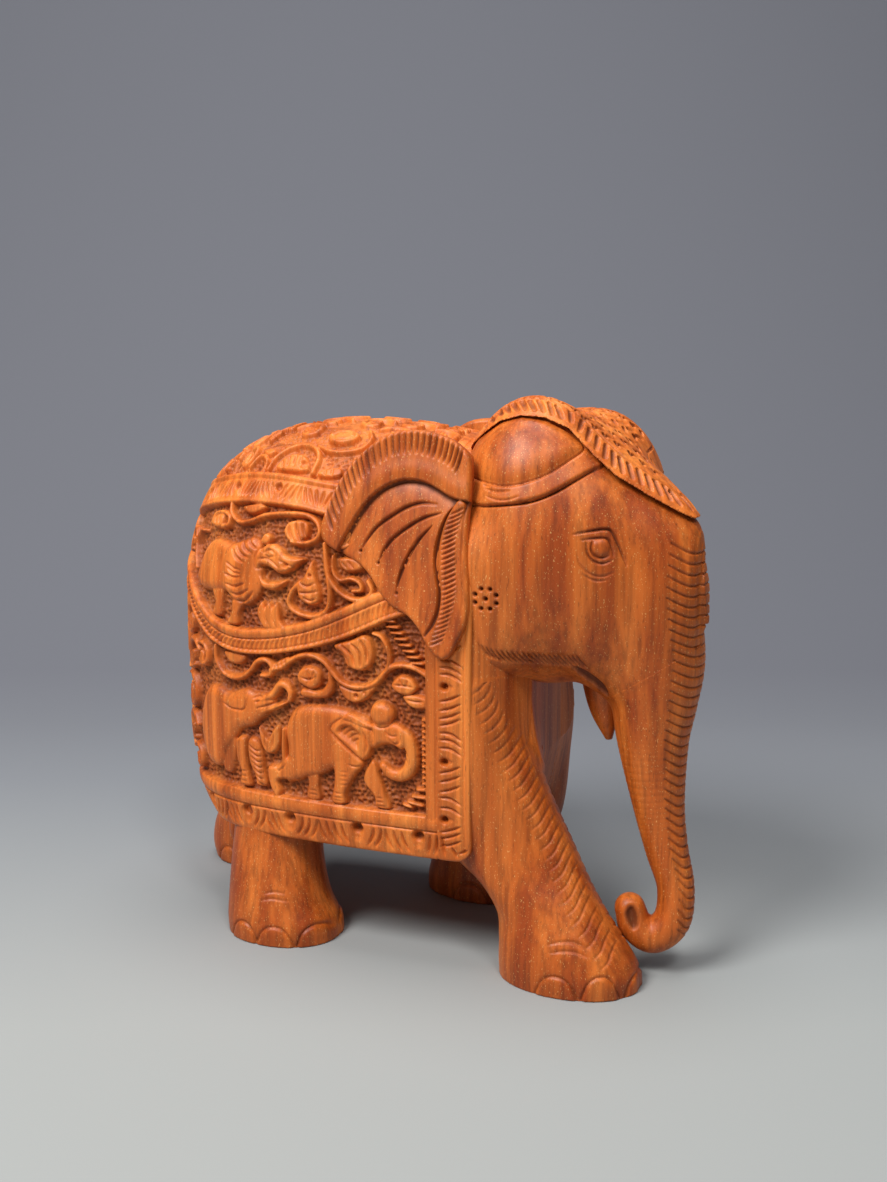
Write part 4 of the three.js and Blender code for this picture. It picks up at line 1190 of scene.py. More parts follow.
def carve_trunk_notches(relief):
    """Short strokes down the front of the trunk."""
    for z in np.arange(112.4, 11, -2.66):
        front = min(front_of_trunk(z), NOSE_FRONT)
        reach = np.interp(z, (12, 20, 30, 45, 60, 75, 90, 112), (2.4, 2.6, 3.6, 3.8, 4.2, 5, 5.6, 5.2))
        relief.cut([(front - reach, z + 2.4), (front - reach * 0.5, z + 0.7), (front - 0.4, z - 0.4),
                    (front + 3.4, z - 0.7)], 0.33, 0.62, 0.3)


def carved_trunk():
    """The trunk's strokes and the opening at its tip."""
    relief = Relief((78, 2), (116, 116), 0.12)
    carve_trunk_notches(relief)
    carve_mouth(relief)
    relief.hollow([(94.4, 17), (95.4, 19.6), (97.4, 19.4), (98.6, 16.6), (98.4, 13.8), (96.8, 12.6),
                   (95.2, 14.2)], -1.5, 1.3)
    relief.soften()
    return relief


def nail(relief, middle, half, height):
    """A toenail: a low rounded plate standing on the ground, with a groove round it."""
    outline = [(middle - half, -1.5), (middle - 0.9 * half, 0.45 * height),
               (middle - 0.5 * half, 0.88 * height), (middle, height), (middle + 0.5 * half, 0.88 * height),
               (middle + 0.9 * half, 0.45 * height), (middle + half, -1.5)]
    relief.figure(outline, 0.35, 1.1, -0.35, line=0.75)


def carved_foreleg(front, feathers):
    """Side relief of a foreleg: nails, creases over them, and a column of feather strokes down the front."""
    relief = Relief((10, -2), (106, 84), 0.14)
    ankle = front - 15.6
    nail(relief, front - 18.4, 4.9, 5.7)
    nail(relief, front - 7.4, 3.9, 6.2)
    nail(relief, front + 0.6, 2.2, 5.2)
    relief.cuts([(ankle - 5.4, 13.4), (ankle - 2.6, 14.3), (ankle + 0.8, 14.4), (ankle + 4.8, 12.8)],
                [(ankle - 4.8, 11.5), (ankle - 1.6, 12.3), (ankle + 1.6, 12.2), (ankle + 4.6, 11)],
                half_width=0.38, depth=0.45)
    heights, edges = feathers
    for z in np.arange(10, heights[-1] - 1, 2.5):
        edge = np.interp(z, heights, edges)
        reach = np.interp(z, (10, 50, 78), (3.6, 4.6, 5.4))
        relief.cut([(edge - 1.5, z + 3.4), (edge - 1.9, z + 1.2), (edge - 0.6 * reach, z - 0.7),
                    (edge - reach, z - 2.2)], 0.36, 0.34)
    relief.soften()
    return relief


def carved_hind_leg(front):
    """Side relief of a hind leg: nails, and creases over them."""
    relief = Relief((-60, -2), (40, 50), 0.14)
    for middle, half in ((front - 22.8, 4.2), (front - 13, 4.8), (front - 3, 3.4)):
        nail(relief, middle, half, 5.6)
    relief.cuts([(front - 18, 12.2), (front - 14.4, 13.1), (front - 10, 12.4)],
                [(front - 17, 14.2), (front - 14, 14.9), (front - 11, 14.4)], half_width=0.36, depth=0.4)
    relief.soften()
    return relief


def carve_sides(points, normals, relief):
    """Moves points in or out by a relief drawn from the side, fading where the surface turns away."""
    facing = np.clip(np.abs(normals[:, 1]) * FADE_STEEP, 0, 1)
    at_front = points[:, 0] > np.maximum(front_of_trunk(points[:, 2]), TRUNK_FRONT) - WRAP
    facing[at_front] = 1
    height = relief.at(points[:, 0], points[:, 2]) * facing
    # The second value is how deep each point lies in the cuts, for the painted shade there
    return points + normals * height[:, None], np.clip(-height / LINE_FULL, 0, 1)


# ---------------------------------------------------------------- ears
def carve_ear_rim(relief):
    """The rim turns over, which throws the inside of the ear back."""
    arc = [(19, 108), (20.4, 110.6), (22.5, 115), (25.5, 120.4), (29, 124.8), (33, 127.8), (38, 129.5),
           (43, 129.2), (47, 127.6), (50.4, 125.8), (53.6, 124.8)]
    path = smooth_path(arc)
    u, q = relief.grid()
    gap, _ = to_path(u, q, path)
    lower = inside_of(u, q, np.concatenate([path, [(60, 124), (60, 80), (10, 80)]]))
    relief.height -= np.where(lower, (0.5 + 1.6 * np.exp(-gap / 3.2)) * np.clip(gap / 0.45, 0, 1), 0)
    relief.height += np.where(lower, 0, 0.35 * np.exp(-(((gap - 2.4) / 2.4) ** 2)))


def carve_ear_fringe(relief):
    """Strokes across the turned-over rim."""
    rim = smooth_path(EAR_OUTLINE, closed=True)
    upper = rim[(rim[:, 1] > 112)]
    for x in (16.4, 17.3, 18.3, 19.3, 20.4, 21.5, 22.7, 24, 25.3, 26.8, 28.4, 30.2, 32, 33.8, 35.6, 37.4,
              39.2, 41, 42.8, 44.6, 46.3, 48, 49.5, 50.9, 52.2, 53.3):
        top = upper[np.argmin(np.abs(upper[:, 0] - x) - 0.02 * upper[:, 1])][1] - 0.2
        lean = 0.11 * (40 - x)
        relief.cut([(x, top), (x + 0.4 * lean, top - 2.6), (x + lean, top - 5.8)], 0.42, 1.0, 0.5)


def carve_ear_veins(relief):
    """Three veins, each ending in a small hole."""
    for vein in ([(47, 123.4), (43, 123.6), (39, 122.4), (35, 120), (31, 117), (28.4, 113.6),
                  (26.8, 110.6)], [(48.4, 121.3), (44, 119.9), (40, 117.6), (36, 114.5), (33.6, 111.4),
                                   (32, 107.8)], [(46.2, 118), (43, 114.5), (40.5, 110.5), (38.8, 106.5),
                                                  (37.8, 103), (37.6, 100.4)]):
        relief.cut(vein, 0.6, 1.15, 0.7)
        relief.hole(vein[-1], 0.35, 0.7)


def carve_ear_fold(relief):
    """The fold down the front edge, with its hatching."""
    relief.cut([(52.4, 123.6), (50.2, 120.6), (48.9, 117), (48.1, 113), (48, 109), (48.7, 105), (49.5, 101),
                (49.3, 97), (48, 93.4), (46, 90.2)], 0.95, 1.5, 0.6)
    relief.roll([(53.4, 123.4), (51.6, 119), (50.6, 113), (50.8, 107), (51.9, 101), (51.4, 95.6),
                 (49.4, 90.4), (48, 87.8)], 2.3, -0.15, -0.8, 0.4)
    for z in np.arange(88.8, 123, 1.27):
        middle = np.interp(z, (88, 92, 97, 102, 108, 114, 119, 123),
                           (49.2, 50.4, 51.6, 52, 51.4, 51, 51.9, 53.2))
        relief.cut([(middle - 1.8, z - 0.9), (middle, z), (middle + 1.8, z + 1)], 0.36, 0.7)
    relief.cut([(55, 125), (54.4, 118), (54.6, 110), (55.4, 102), (55.4, 96)], 0.3, 0.3)


def carved_ear():
    """The outer face of an ear."""
    relief = Relief((12, 82), (60, 145), 0.12)
    for carve in (carve_ear_rim, carve_ear_fringe, carve_ear_veins, carve_ear_fold):
        carve(relief)
    relief.soften()
    return relief


def ear_rim(around):
    """Places at even steps round the ear's outline."""
    rim = smooth_path(EAR_OUTLINE, closed=True, spacing=0.25)
    closed = np.concatenate([rim, rim[:1]])
    lengths = arc_lengths(closed)
    at = np.arange(around) / around * lengths[-1]
    return np.stack([np.interp(at, lengths, closed[:, i]) for i in (0, 1)], 1)


def leaf_faces(rings, around):
    """Quads from ring to ring over the face, round the rim and over the back, and a fan at each heart."""
    number = np.arange(rings * around).reshape(rings, around)
    centre = rings * around
    first_back = centre + 1
    loops = [*number, first_back + np.arange(around), first_back + around + np.arange(around)]
    last = first_back + 2 * around
    quads = np.concatenate([np.stack([a, b, np.roll(b, -1), np.roll(a, -1)],
                                     1) for a, b in zip(loops, loops[1:])])
    fans = np.concatenate([
        np.stack([np.full(around, centre), number[0], np.roll(number[0], -1)], 1),
        np.stack([np.full(around, last), np.roll(loops[-1], -1), loops[-1]], 1),
    ])
    return quads, fans


def lean_out(local, side):
    """Places on an ear, as (X, Z, out), turned to lean in at the top and set beside the head."""
    x, z, y = local[:, 0], local[:, 1] - WIDEST_HEIGHT, local[:, 2]
    turned_y = y * math.cos(EAR_LEAN) - z * math.sin(EAR_LEAN) + EAR_OUT
    turned_z = y * math.sin(EAR_LEAN) + z * math.cos(EAR_LEAN) + WIDEST_HEIGHT
    return np.stack([x, side * turned_y, turned_z], 1)


def make_ear(side, relief):
    """A thick leaf with its carving on the outer face; side is 1 for the left one."""
    around, rings = ((520, 104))
    rim, heart = ear_rim(around), np.array(EAR_HEART)
    shares = np.linspace(0, 1, rings + 1)[1:]
    flat = (heart + shares[:, None, None] * (rim - heart)[None]).reshape(-1, 2)
    gap, _ = to_path(flat[:, 0], flat[:, 1], np.concatenate([rim[::4], rim[:1]]))
    gap = np.where(np.repeat(shares, around) == 1, 0, gap)
    drop = EAR_ROUND - np.sqrt(EAR_ROUND**2 - np.clip(EAR_ROUND - gap, 0, EAR_ROUND) ** 2)
    out = EAR_THICK + relief.at(flat[:, 0], flat[:, 1]) - drop
    heart_out = EAR_THICK + relief.at(heart[:1], heart[1:])[0]
    back_rim = np.concatenate([rim, np.full((around, 1), 0.5)], 1)
    back = np.concatenate([heart + 0.97 * (rim - heart), np.zeros((around, 1))], 1)
    face = np.concatenate([flat, out[:, None]], 1)
    points = lean_out(np.concatenate([face, [(*heart, heart_out)], back_rim, back, [(*heart, 0.0)]]), side)
    quads, fans = leaf_faces(rings, around)
    if side > 0:
        quads, fans = quads[:, ::-1], fans[:, ::-1]
    hollow = np.zeros(len(points))
    # The ear's furrows get painted shade, by how far each place lies below the average around it
    furrows = relief.furrows(2.4).at(flat[:, 0], flat[:, 1])
    hollow[:len(flat)] = np.clip(furrows / EAR_LINE_FULL, 0, 1)
    return points, [quads, fans], hollow


# ---------------------------------------------------------------- the smooth carved forms
SEAM_LAP = 1.5         # how far one piece runs on under its neighbour
SEAM_SINK = 0.02       # how far below the neighbour's surface it lies there
REAR_END = -29         # stations behind this one belong to the rounded rump
UNDER_CLOTH = 4        # how far inside the cloth's outside the torso lies
CHEEK_FILLET, DOME_FILLET, TRUNK_FILLET = 2.5, 5, 7.5
LEG_FILLETS = {"right_hind_leg": 5, "left_hind_leg": 5, "right_foreleg": 7, "left_foreleg": 7}
TRUNK_BACK, TRUNK_TOP = 74, 121     # the trunk has no say behind this station or above this height


def torso_row(station, low, high, half):
    """A row of the torso, from the cloth's row."""
    shift = UNDER_CLOTH if station < REAR_END else 0
    return (station + shift, 0, max(low + UNDER_CLOTH, BELLY_HEIGHT),
            high - UNDER_CLOTH, half - UNDER_CLOTH)


torso = lengthwise(
    [torso_row(*row) for row in CLOTH_ROWS[:-1]] + [(x, 0, *rest) for x, *rest in CHEST_ROWS],
    BACK_POWER, BELLY_POWER, WIDEST_HEIGHT,
)
legs = {name: upright(rows, -1 if "right" in name else 1) for name, rows in LEG_ROWS.items()}
skull = lengthwise(HEAD_ROWS, HEAD_POWER, HEAD_POWER)
cheeks = lengthwise(CHEEK_ROWS, HEAD_POWER, CHEEK_POWER)
near_dome, far_dome = [ellipsoid(*dome) for dome in DOMES]
trunk = bent(TRUNK_ROWS)
lip = upright(LIP_ROWS, -1, LIP_POWER)
tail = bent(TAIL_ROWS)


def head_form(p):
    """The skull with its two domes, running on into the trunk."""
    form = blend(skull(p), cheeks(p), CHEEK_FILLET)
    form = blend(blend(form, near_dome(p), DOME_FILLET), far_dome(p), DOME_FILLET)
    near_trunk = (p[:, 0] > TRUNK_BACK) & (p[:, 2] < TRUNK_TOP)
    if near_trunk.any():
        form[near_trunk] = blend(form[near_trunk], trunk(p[near_trunk]), TRUNK_FILLET)
    return form


def body_form(p):
    """The body with its four legs, with fillets where a carver leaves them."""
    form = torso(p)
    for name, width in LEG_FILLETS.items():
        form = blend(form, legs[name](p), width)
    return form


def zone(*planes):
    """The space on the inner side of planes, each a point and the direction that leads out."""
    sides = [(np.array(point, float), np.array(out, float) / np.linalg.norm(out)) for point, out in planes]
    return lambda p: np.max([(p - point) @ out for point, out in sides], axis=0)


def within(form, space):
    """The part of a form inside a space."""
    return lambda p: np.maximum(form(p), space(p))


def without(form, *spaces):
    """What is left of a form outside some spaces. It laps a little under the pieces that fill them."""
    def field(p):
        value = form(p) + SEAM_SINK
        for space in spaces:
            value = np.maximum(value, -(space(p) + SEAM_LAP))
        return value
    return field


def smooth_piece(name, form, low, high, step, slot, *nodes, relief=None, depth=None):
    """A piece from a form that lies between two corners of space. relief carves its sides, or depth says how
    deep in the carving its points lie, for the painted shade in the cuts."""
    points, quads = surface(form, low, high, step)
    points, normals = settle(form, points)
    hollow = None
    if relief is not None:
        points, hollow = carve_sides(points, normals, relief)
    elif depth is not None:
        hollow = depth(points)
    points[:, 2] = np.maximum(points[:, 2], 0)
    return new_piece(name, points, [quads], slot, *nodes, hollow=hollow)


FINE, COARSE = ((0.28, 0.5))
LEG_STEP = 0.34
BODY_STEP = 1.3 * COARSE


def leg_zone(side, top, end, way):
    """The space that a leg fills as its own piece: to one side, below a height, and up to a station."""
    return zone(((0, LEG_INSIDE * side, 0), (0, -side, 0)), ((0, 0, top), (0, 0, 1)),
                ((end, 0, 0), (way, 0, 0)))


LEG_INSIDE = 9      # how far out from the middle the legs' spaces start
trunk_zone = zone(((84, 0, 71), (-0.55, 0, 0.83)))
leg_zones = {
    "right_foreleg": leg_zone(-1, 80, 42, -1),
    "left_foreleg": leg_zone(1, 80, 18, -1),
    "right_hind_leg": leg_zone(-1, 45, 24, 1),
    "left_hind_leg": leg_zone(1, 45, 4, 1),
}
# Front edges of the forelegs, as heights and stations, where the feather strokes start.
RIGHT_FEATHERS = ((0, 10, 20, 30, 45, 60, 70, 80), (100, 96.2, 88.4, 82.8, 75.4, 68.6, 64.6, 61.6))
LEFT_FEATHERS = ((0, 10, 20, 30, 45, 60), (58.4, 58.6, 61.6, 65.2, 66.8, 67.2))

smooth_piece("head_wood", without(head_form, trunk_zone), (44, -36, 66), (114, 36, 152),
             FINE, "smooth_wood", "head", relief=carved_head())
smooth_piece("trunk_wood", within(head_form, trunk_zone), (80, -26, 0), (114, 8, 92),
             FINE, "smooth_wood", "trunk", relief=carved_trunk())
smooth_piece("lip_wood", lip, (76, -16, 58), (94, 2, 84), LEG_STEP, "smooth_wood", "lower_lip")
# For each leg: two corners of space round it, the step, and its carving.
leg_pieces = {
    "right_foreleg": ((40, -42, -2), (104, -8, 82), LEG_STEP, carved_foreleg(100.4, RIGHT_FEATHERS)),
    "left_foreleg": ((16, 8, -2), (72, 42, 82), COARSE, carved_foreleg(58.5, LEFT_FEATHERS)),
    "right_hind_leg": ((-22, -42, -2), (26, -8, 47), LEG_STEP, carved_hind_leg(14.4)),
    "left_hind_leg": ((-60, 8, -2), (6, 42, 47), COARSE, carved_hind_leg(-19)),
}
for leg_name, (leg_low, leg_high, leg_step, leg_relief) in leg_pieces.items():
    smooth_piece(leg_name + "_wood", within(body_form, leg_zones[leg_name]), leg_low, leg_high, leg_step,
                 "smooth_wood", leg_name, relief=leg_relief)
smooth_piece("body_wood", without(body_form, *leg_zones.values()), (-44, -36, 24), (72, 36, 142), BODY_STEP,
             "smooth_wood", "body")

cloth_points, cloth_faces, cloth_hollow = make_cloth(carved_cloth())
new_piece("saddle_cloth_wood", cloth_points, cloth_faces, "carved_wood", "saddle_cloth",
          hollow=cloth_hollow)

ear_relief = carved_ear()
for ear_name, ear_side in (("right_ear", -1), ("left_ear", 1)):
    ear_points, ear_faces, ear_hollow = make_ear(ear_side, ear_relief)
    new_piece(ear_name + "_wood", ear_points, ear_faces, "smooth_wood", ear_name, hollow=ear_hollow)

# ---------------------------------------------------------------- headdress
HEADDRESS_THICK = 2.2
# Lower edges of the headdress, as stations and heights. The left side of the crown is lower.
HEADDRESS_EDGES = {
    -1: [(44, 131.5), (54, 139.4), (60, 143.8), (66, 145.4), (72, 145), (78, 142.4), (84, 136.6),
         (90, 131.2), (98, 126.2), (108, 120.4)],
    1: [(44, 128), (54, 132), (62, 135.6), (70, 139), (76, 140.4), (82, 138.6), (88, 134), (93, 129.8),
        (98, 126.2), (108, 120.4)],
}
CROWN_COVER, CROWN_HALF, CROWN_FRONT = 10, 6, (96, 104)  # the drop, its half width, where it fades out
BRAID_WIDTH, GOUGE_RADIUS, RIDGE_RADIUS, LEAF_RADIUS = 6.6, 0.78, 0.5, 0.72
LEAF_ROWS, LEAF_GAP = 3.3, 2.7      # steps from row to row of the crown's leaves, and along a row


def headdress_outside(p):
    """The uncut outside of the headdress, at one thickness from the head."""
    return head_form(p) - HEADDRESS_THICK


def head_middle(stations):
    """How far aside the middle of the head lies, with its turn to the right."""
    return np.interp(stations, [row[0] for row in HEAD_ROWS], [row[1] for row in HEAD_ROWS])


def above_edge(p):
    """How far each place lies below the headdress's lower edge on its side, and less than 0 above it. The
    edge drops out of the way over the crown, which stays covered."""
    aside = p[:, 1] - head_middle(p[:, 0])
    right, left = (np.interp(p[:, 0], *zip(*HEADDRESS_EDGES[side])) for side in (-1, 1))
    cover = np.clip(1 - np.abs(aside) / CROWN_HALF, 0, 1) * np.interp(p[:, 0], CROWN_FRONT, (1, 0))
    return np.where(aside < 0, right, left) - CROWN_COVER * cover - p[:, 2]


def on_headdress(stations, side, lift=0.0):
    """Points on the outside of the headdress above its edge, on one side, and their outward directions."""
    heights = np.interp(stations, *zip(*HEADDRESS_EDGES[side])) + lift
    middle = head_middle(stations)
    at = lambda out: np.stack([stations, middle + side * out, heights], 1)
    near, _ = halved(lambda out: headdress_outside(at(out)) < 0, len(stations), 45.0, 22)
    points = at(near)
    return points, unit(slope(headdress_outside, points))


def capsules(starts, ends, radii):
    """Distance to the nearest of several rounded rods."""
    def field(p):
        nearest = np.full(len(p), 1e9)
        for start, end, radius in zip(starts, ends, radii):
            close = np.abs(p - (start + end) / 2).max(1) < np.linalg.norm(end - start) / 2 + radius + 1.5
            gap = p[close] - start
            run = end - start
            along = np.clip(gap @ run / (run @ run), 0, 1)
            reach = np.sqrt(((gap - along[:, None] * run) ** 2).sum(1)) - radius
            nearest[close] = np.minimum(nearest[close], reach)
        return nearest
    return field


def along_and_inward(points, normals, side):
    """Directions along the headdress's edge, and inward from it over the surface."""
    along = unit(np.gradient(points, axis=0))
    inward = np.cross(normals, along) * side
    return along, inward * np.sign(inward[:, 2:3] + 1e-6)


def braid_gouges():
    """Slanting gouges along both edges of the headdress, and the two lines that close the braid in."""
    starts, ends, radii = [], [], []
    for side in (-1, 1):
        points, normals = on_headdress(np.linspace(49, 107, 27), side, 1.5)
        along, inward = along_and_inward(points, normals, side)
        tips, tip_normals = settle(headdress_outside, points + inward * 4.0 - along * 2.2, 2.0, 4)
        starts.extend(points + normals * 0.35)
        ends.extend(tips + tip_normals * 0.1)
        radii.extend([GOUGE_RADIUS] * len(points))
        line, line_normals = on_headdress(np.linspace(46, 106, 60), side, 0.9)
        _, inward = along_and_inward(line, line_normals, side)
        ridge, ridge_normals = settle(headdress_outside, line + inward * BRAID_WIDTH, 2.0, 5)
        ridge = ridge + ridge_normals * 0.15
        starts.extend(ridge[:-1])
        ends.extend(ridge[1:])
        radii.extend([RIDGE_RADIUS] * (len(ridge) - 1))
    return capsules(starts, ends, radii)


def cap_leaves():
    """Rows of short gouges over the crown, between the two braids."""
    starts, ends, radii = [], [], []
    for x in np.arange(52, 107, LEAF_ROWS):
        right, left = (on_headdress(np.array([x]), side, 0.9)[0][0, 1] for side in (-1, 1))
        for k, y in enumerate(np.arange(right + 6.4, left - 6.2, LEAF_GAP)):
            place = np.array([[x + 1.2 * (k % 2), y, 154.0 - 0.5 * max(x - 66, 0)]])
            spot, normal = settle(headdress_outside, place, 6.0, 12)
            if above_edge(spot)[0] > -1 or abs(headdress_outside(spot)[0]) > 0.1:
                continue
            lean = np.array([1.0, 0.8 if k % 2 else -0.8, -0.3]) * 1.05
            starts.append(spot[0] - lean + normal[0] * 0.3)
            ends.append(spot[0] + lean + normal[0] * 0.3)
            radii.append(LEAF_RADIUS)
    return capsules(starts, ends, radii)


braid, leaves = braid_gouges(), cap_leaves()


def headdress_form(p):
    """A shell over the head above the edge, less its gouges."""
    head = head_form(p)
    shell = np.maximum(head - HEADDRESS_THICK, 0.3 - head)
    shell = np.maximum(shell, above_edge(p) * 0.8)
    return np.maximum(shell, -np.minimum(braid(p), leaves(p)))


def headdress_depth(points):
    """How deep in the headdress's carving each point lies, from 0 to 1, for the painted shade in its cuts."""
    return np.clip((HEADDRESS_THICK - head_form(points)) / LINE_FULL, 0, 1)


smooth_piece("headdress_wood", headdress_form, (44, -34, 116), (114, 30, 153),
             FINE, "carved_wood", "headdress", depth=headdress_depth)
smooth_piece("tail_wood", tail, (-40, -2, 4), (-22, 12, 40), LEG_STEP, "smooth_wood", "tail")

# ---------------------------------------------------------------- looks
def new_material(name):
    """A material, with its nodes and its shader."""
    material = bpy.data.materials.new(name)
    material.use_nodes = True
    return material, material.node_tree, material.node_tree.nodes["Principled BSDF"]


def streaks(tree, place, across, along, detail, offset):
    """Noise drawn out along the grain; across and along are its scales."""
    stretch = tree.nodes.new("ShaderNodeMapping")
    stretch.inputs["Scale"].default_value = (across, across, along)
    stretch.inputs["Location"].default_value = offset
    noise = tree.nodes.new("ShaderNodeTexNoise")
    noise.inputs["Scale"].default_value = 1.0
    noise.inputs["Detail"].default_value = detail
    noise.inputs["Roughness"].default_value = 0.55
    tree.links.new(place, stretch.inputs["Vector"])
    tree.links.new(stretch.outputs["Vector"], noise.inputs["Vector"])
    return noise.outputs["Fac"]


def ramp(tree, source, *stops):
    """Colours, or greys given as one number, between stops."""
    node = tree.nodes.new("ShaderNodeValToRGB")
    while len(node.color_ramp.elements) < len(stops):
        node.color_ramp.elements.new(0.5)
    for element, (at, colour) in zip(node.color_ramp.elements, stops):
        element.position = at
        element.color = (*colour, 1) if isinstance(colour, tuple) else (colour, colour, colour, 1)
    tree.links.new(source, node.inputs["Fac"])
    return node.outputs["Color"]


def times(tree, source, factor):
    """A value times a constant."""
    node = tree.nodes.new("ShaderNodeMath")
    node.operation = "MULTIPLY"
    node.inputs[1].default_value = factor
    tree.links.new(source, node.inputs[0])
    return node.outputs[0]


def mix(tree, kind, share, first, second):
    """Two colours mixed; each input is a socket or a constant."""
    node = tree.nodes.new("ShaderNodeMix")
    node.data_type = "RGBA"
    node.blend_type = kind
    share_at, first_at, second_at = 0, 6, 7
    for value, at in ((share, share_at), (first, first_at), (second, second_at)):
        if isinstance(value, bpy.types.NodeSocket):
            tree.links.new(value, node.inputs[at])
        else:
            node.inputs[at].default_value = value
    return node.outputs[2]


FLECK = (0.92, 0.55, 0.2)
RECESS_ROUGH = 0.72


def wood(name, light, middle, dark, recess_shade, gloss):
    """Oiled wood: grain, pores and pale flecks that run up and down, with painted shade that darkens the
    carving where it goes deep.
    """
    material, tree, shader = new_material(name)
    place = tree.nodes.new("ShaderNodeTexCoord").outputs["Object"]
    broad = ramp(tree, streaks(tree, place, 150, 7, 3, (0.1, 0.4, 0.2)), (0.36, dark), (0.5, middle),
                 (0.64, light))
    fine = ramp(tree, streaks(tree, place, 820, 30, 4, (0.7, 0.2, 0.5)), (0.34, 0.66), (0.5, 0.97),
                (0.66, 1.14))
    pores = ramp(tree, streaks(tree, place, 2300, 420, 1, (0.9, 0.1, 0.6)), (0.64, 1.0), (0.76, 0.55))
    flecks = ramp(tree, streaks(tree, place, 3700, 2000, 0, (0.3, 0.9, 0.1)), (0.72, 0.0), (0.8, 1.0))
    hollow = tree.nodes.new("ShaderNodeAttribute")
    hollow.attribute_name = "hollow"
    # deep is the share of painted shade in the carving's recesses; the same share also makes the recesses
    # rougher
    deep = ramp(tree, hollow.outputs["Fac"], (0.1, 0.0), (0.62, 0.5), (0.95, 1.0))
    colour = mix(tree, "MULTIPLY", 0.85, broad, fine)
    colour = mix(tree, "MULTIPLY", 0.8, colour, pores)
    colour = mix(tree, "MIX", times(tree, flecks, 0.42), colour, (*FLECK, 1))
    colour = mix(tree, "MIX", times(tree, deep, 0.8), colour, (*recess_shade, 1))
    tree.links.new(colour, shader.inputs["Base Color"])
    rough = tree.nodes.new("ShaderNodeMapRange")
    rough.inputs["To Min"].default_value = gloss
    rough.inputs["To Max"].default_value = RECESS_ROUGH
    tree.links.new(deep, rough.inputs["Value"])
    tree.links.new(rough.outputs["Result"], shader.inputs["Roughness"])
    shader.inputs["Specular IOR Level"].default_value = 0.36
    shader.inputs["Coat Weight"].default_value = 0.05
    shader.inputs["Coat Roughness"].default_value = 0.3
    bump = tree.nodes.new("ShaderNodeBump")
    bump.inputs["Strength"].default_value = 0.25
    bump.inputs["Distance"].default_value = 0.00012
    tree.links.new(fine, bump.inputs["Height"])
    tree.links.new(bump.outputs["Normal"], shader.inputs["Normal"])
    return material


# Painted shade: the colour that deep carving darkens towards
PAINTED_RECESS_SHADE = (0.085, 0.014, 0.002)
SMOOTH_TONES = (0.61, 0.152, 0.021), (0.49, 0.103, 0.011), (0.33, 0.054, 0.005)     # light, middle, dark
CARVED_TONES = (0.78, 0.225, 0.036), (0.67, 0.160, 0.021), (0.48, 0.095, 0.009)
looks = {
    "smooth_wood": wood("smooth_wood", *SMOOTH_TONES, PAINTED_RECESS_SHADE, 0.46),
    "carved_wood": wood("carved_wood", *CARVED_TONES, PAINTED_RECESS_SHADE, 0.48),
}
for obj in list(bpy.context.scene.objects):  # the pieces above and the CAD's own
    if obj.type == "MESH":
        carved = any(word in obj.name for word in ("saddle_cloth", "headdress"))
        look = looks["carved_wood" if carved else "smooth_wood"]
        if not obj.material_slots:
            obj.data.materials.append(look)
        for slot in obj.material_slots:
            slot.material = look

# ---------------------------------------------------------------- paper sweep, light and camera
# Metres from the origin, away from the camera.
SWEEP_NEAR, SWEEP_START, SWEEP_RADIUS, SWEEP_TOP, SWEEP_HALF = -1.4, 0.20, 0.45, 2.0, 1.8
# The paper's colour near the camera, then painted shade, darker and bluer, deeper in, for the falloff of
# light
PALE, MIDDLE, DIM = (0.335, 0.355, 0.355), (0.225, 0.240, 0.265), (0.175, 0.183, 0.212)
CAMERA_AZIMUTH, CAMERA_PITCH = math.radians(22), math.radians(10.3)


def paper_sweep():
    """A floor of pale paper that curves up behind the figure, square to the camera."""
    profile = [(SWEEP_NEAR, 0.0), (SWEEP_START, 0.0)]
    for angle in np.linspace(0, math.pi / 2, 33)[1:]:
        profile.append((SWEEP_START + SWEEP_RADIUS * math.sin(angle), SWEEP_RADIUS * (1 - math.cos(angle))))
    profile.append((SWEEP_START + SWEEP_RADIUS, SWEEP_TOP))
    corners = [(aside, depth, height) for depth, height in profile for aside in (-SWEEP_HALF, SWEEP_HALF)]
    faces = [(2 * k, 2 * k + 1, 2 * k + 3, 2 * k + 2) for k in range(len(profile) - 1)]
    mesh = bpy.data.meshes.new("paper")
    mesh.from_pydata(corners, [], faces)
    mesh.polygons.foreach_set("use_smooth", [True] * len(faces))
    sweep = bpy.data.objects.new("paper", mesh)
    sweep.rotation_euler.z = CAMERA_AZIMUTH
    return sweep


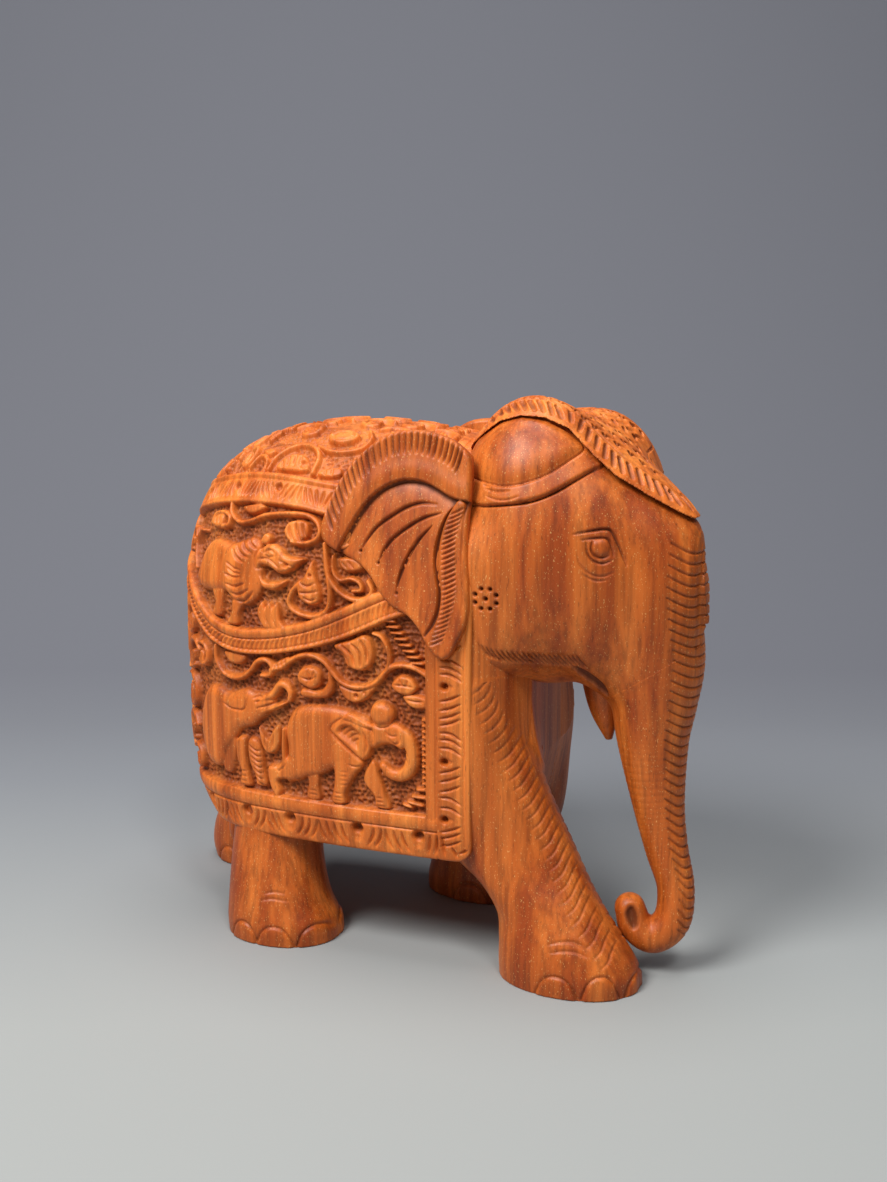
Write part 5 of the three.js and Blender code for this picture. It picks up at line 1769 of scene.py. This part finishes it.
def paper_look():
    """Pale paper, with painted shade that makes it darker and bluer behind the figure."""
    material, tree, shader = new_material("paper")
    place, split, reach = (tree.nodes.new(kind) for kind in (
        "ShaderNodeTexCoord", "ShaderNodeSeparateXYZ", "ShaderNodeMapRange"))
    reach.inputs["From Min"].default_value = -0.15
    reach.inputs["From Max"].default_value = 0.35
    tree.links.new(place.outputs["Object"], split.inputs["Vector"])
    tree.links.new(split.outputs["Y"], reach.inputs["Value"])
    painted_falloff = ramp(tree, reach.outputs["Result"], (0.16, PALE), (0.55, MIDDLE), (0.85, DIM))
    tree.links.new(painted_falloff, shader.inputs["Base Color"])
    shader.inputs["Roughness"].default_value = 0.9
    shader.inputs["Specular IOR Level"].default_value = 0.15
    return material


floor = paper_sweep()
bpy.context.scene.collection.objects.link(floor)
floor.data.materials.append(paper_look())

world = bpy.data.worlds.new("studio")
bpy.context.scene.world = world
world.use_nodes = True
world.node_tree.nodes["Background"].inputs["Color"].default_value = (0.88, 0.92, 1.0, 1)
world.node_tree.nodes["Background"].inputs["Strength"].default_value = 0.15
bpy.context.scene.view_settings.view_transform = "Standard"


def area_light(name, at, towards, size, power, colour):
    """A round soft light; size is its diameter in metres and power is in watts."""
    light = bpy.data.lights.new(name, "AREA")
    light.shape = "DISK"
    light.size = size
    light.energy = power
    light.color = colour
    lamp = bpy.data.objects.new(name, light)
    lamp.location = at
    lamp.rotation_euler = (Vector(towards) - Vector(at)).to_track_quat("-Z", "Y").to_euler()
    bpy.context.scene.collection.objects.link(lamp)


area_light("key", (-0.26, -0.58, 0.80), (0, 0, 0.07), 0.42, 9.5, (1, 0.97, 0.93))
area_light("front", (0.42, -0.55, 0.95), (0, 0, 0.11), 0.24, 3.4, (1, 0.97, 0.94))
area_light("top", (0.0, 0.05, 0.95), (0, 0, 0.08), 0.5, 4.2, (1, 0.98, 0.96))

# The camera stands level with the figure's back and looks a little down at it.
CAMERA_STATION = (180.1, -356.1, 165.0)
SENSOR, LENS = 36, 42.853     # mm
camera = bpy.data.cameras.new("camera")
camera.sensor_width = camera.sensor_height = SENSOR
camera.lens = LENS
eye = bpy.data.objects.new("camera", camera)
eye.location = to_frame([CAMERA_STATION])[0]
eye.rotation_euler = (math.pi / 2 - CAMERA_PITCH, 0, CAMERA_AZIMUTH)
bpy.context.scene.collection.objects.link(eye)
bpy.context.scene.camera = eye
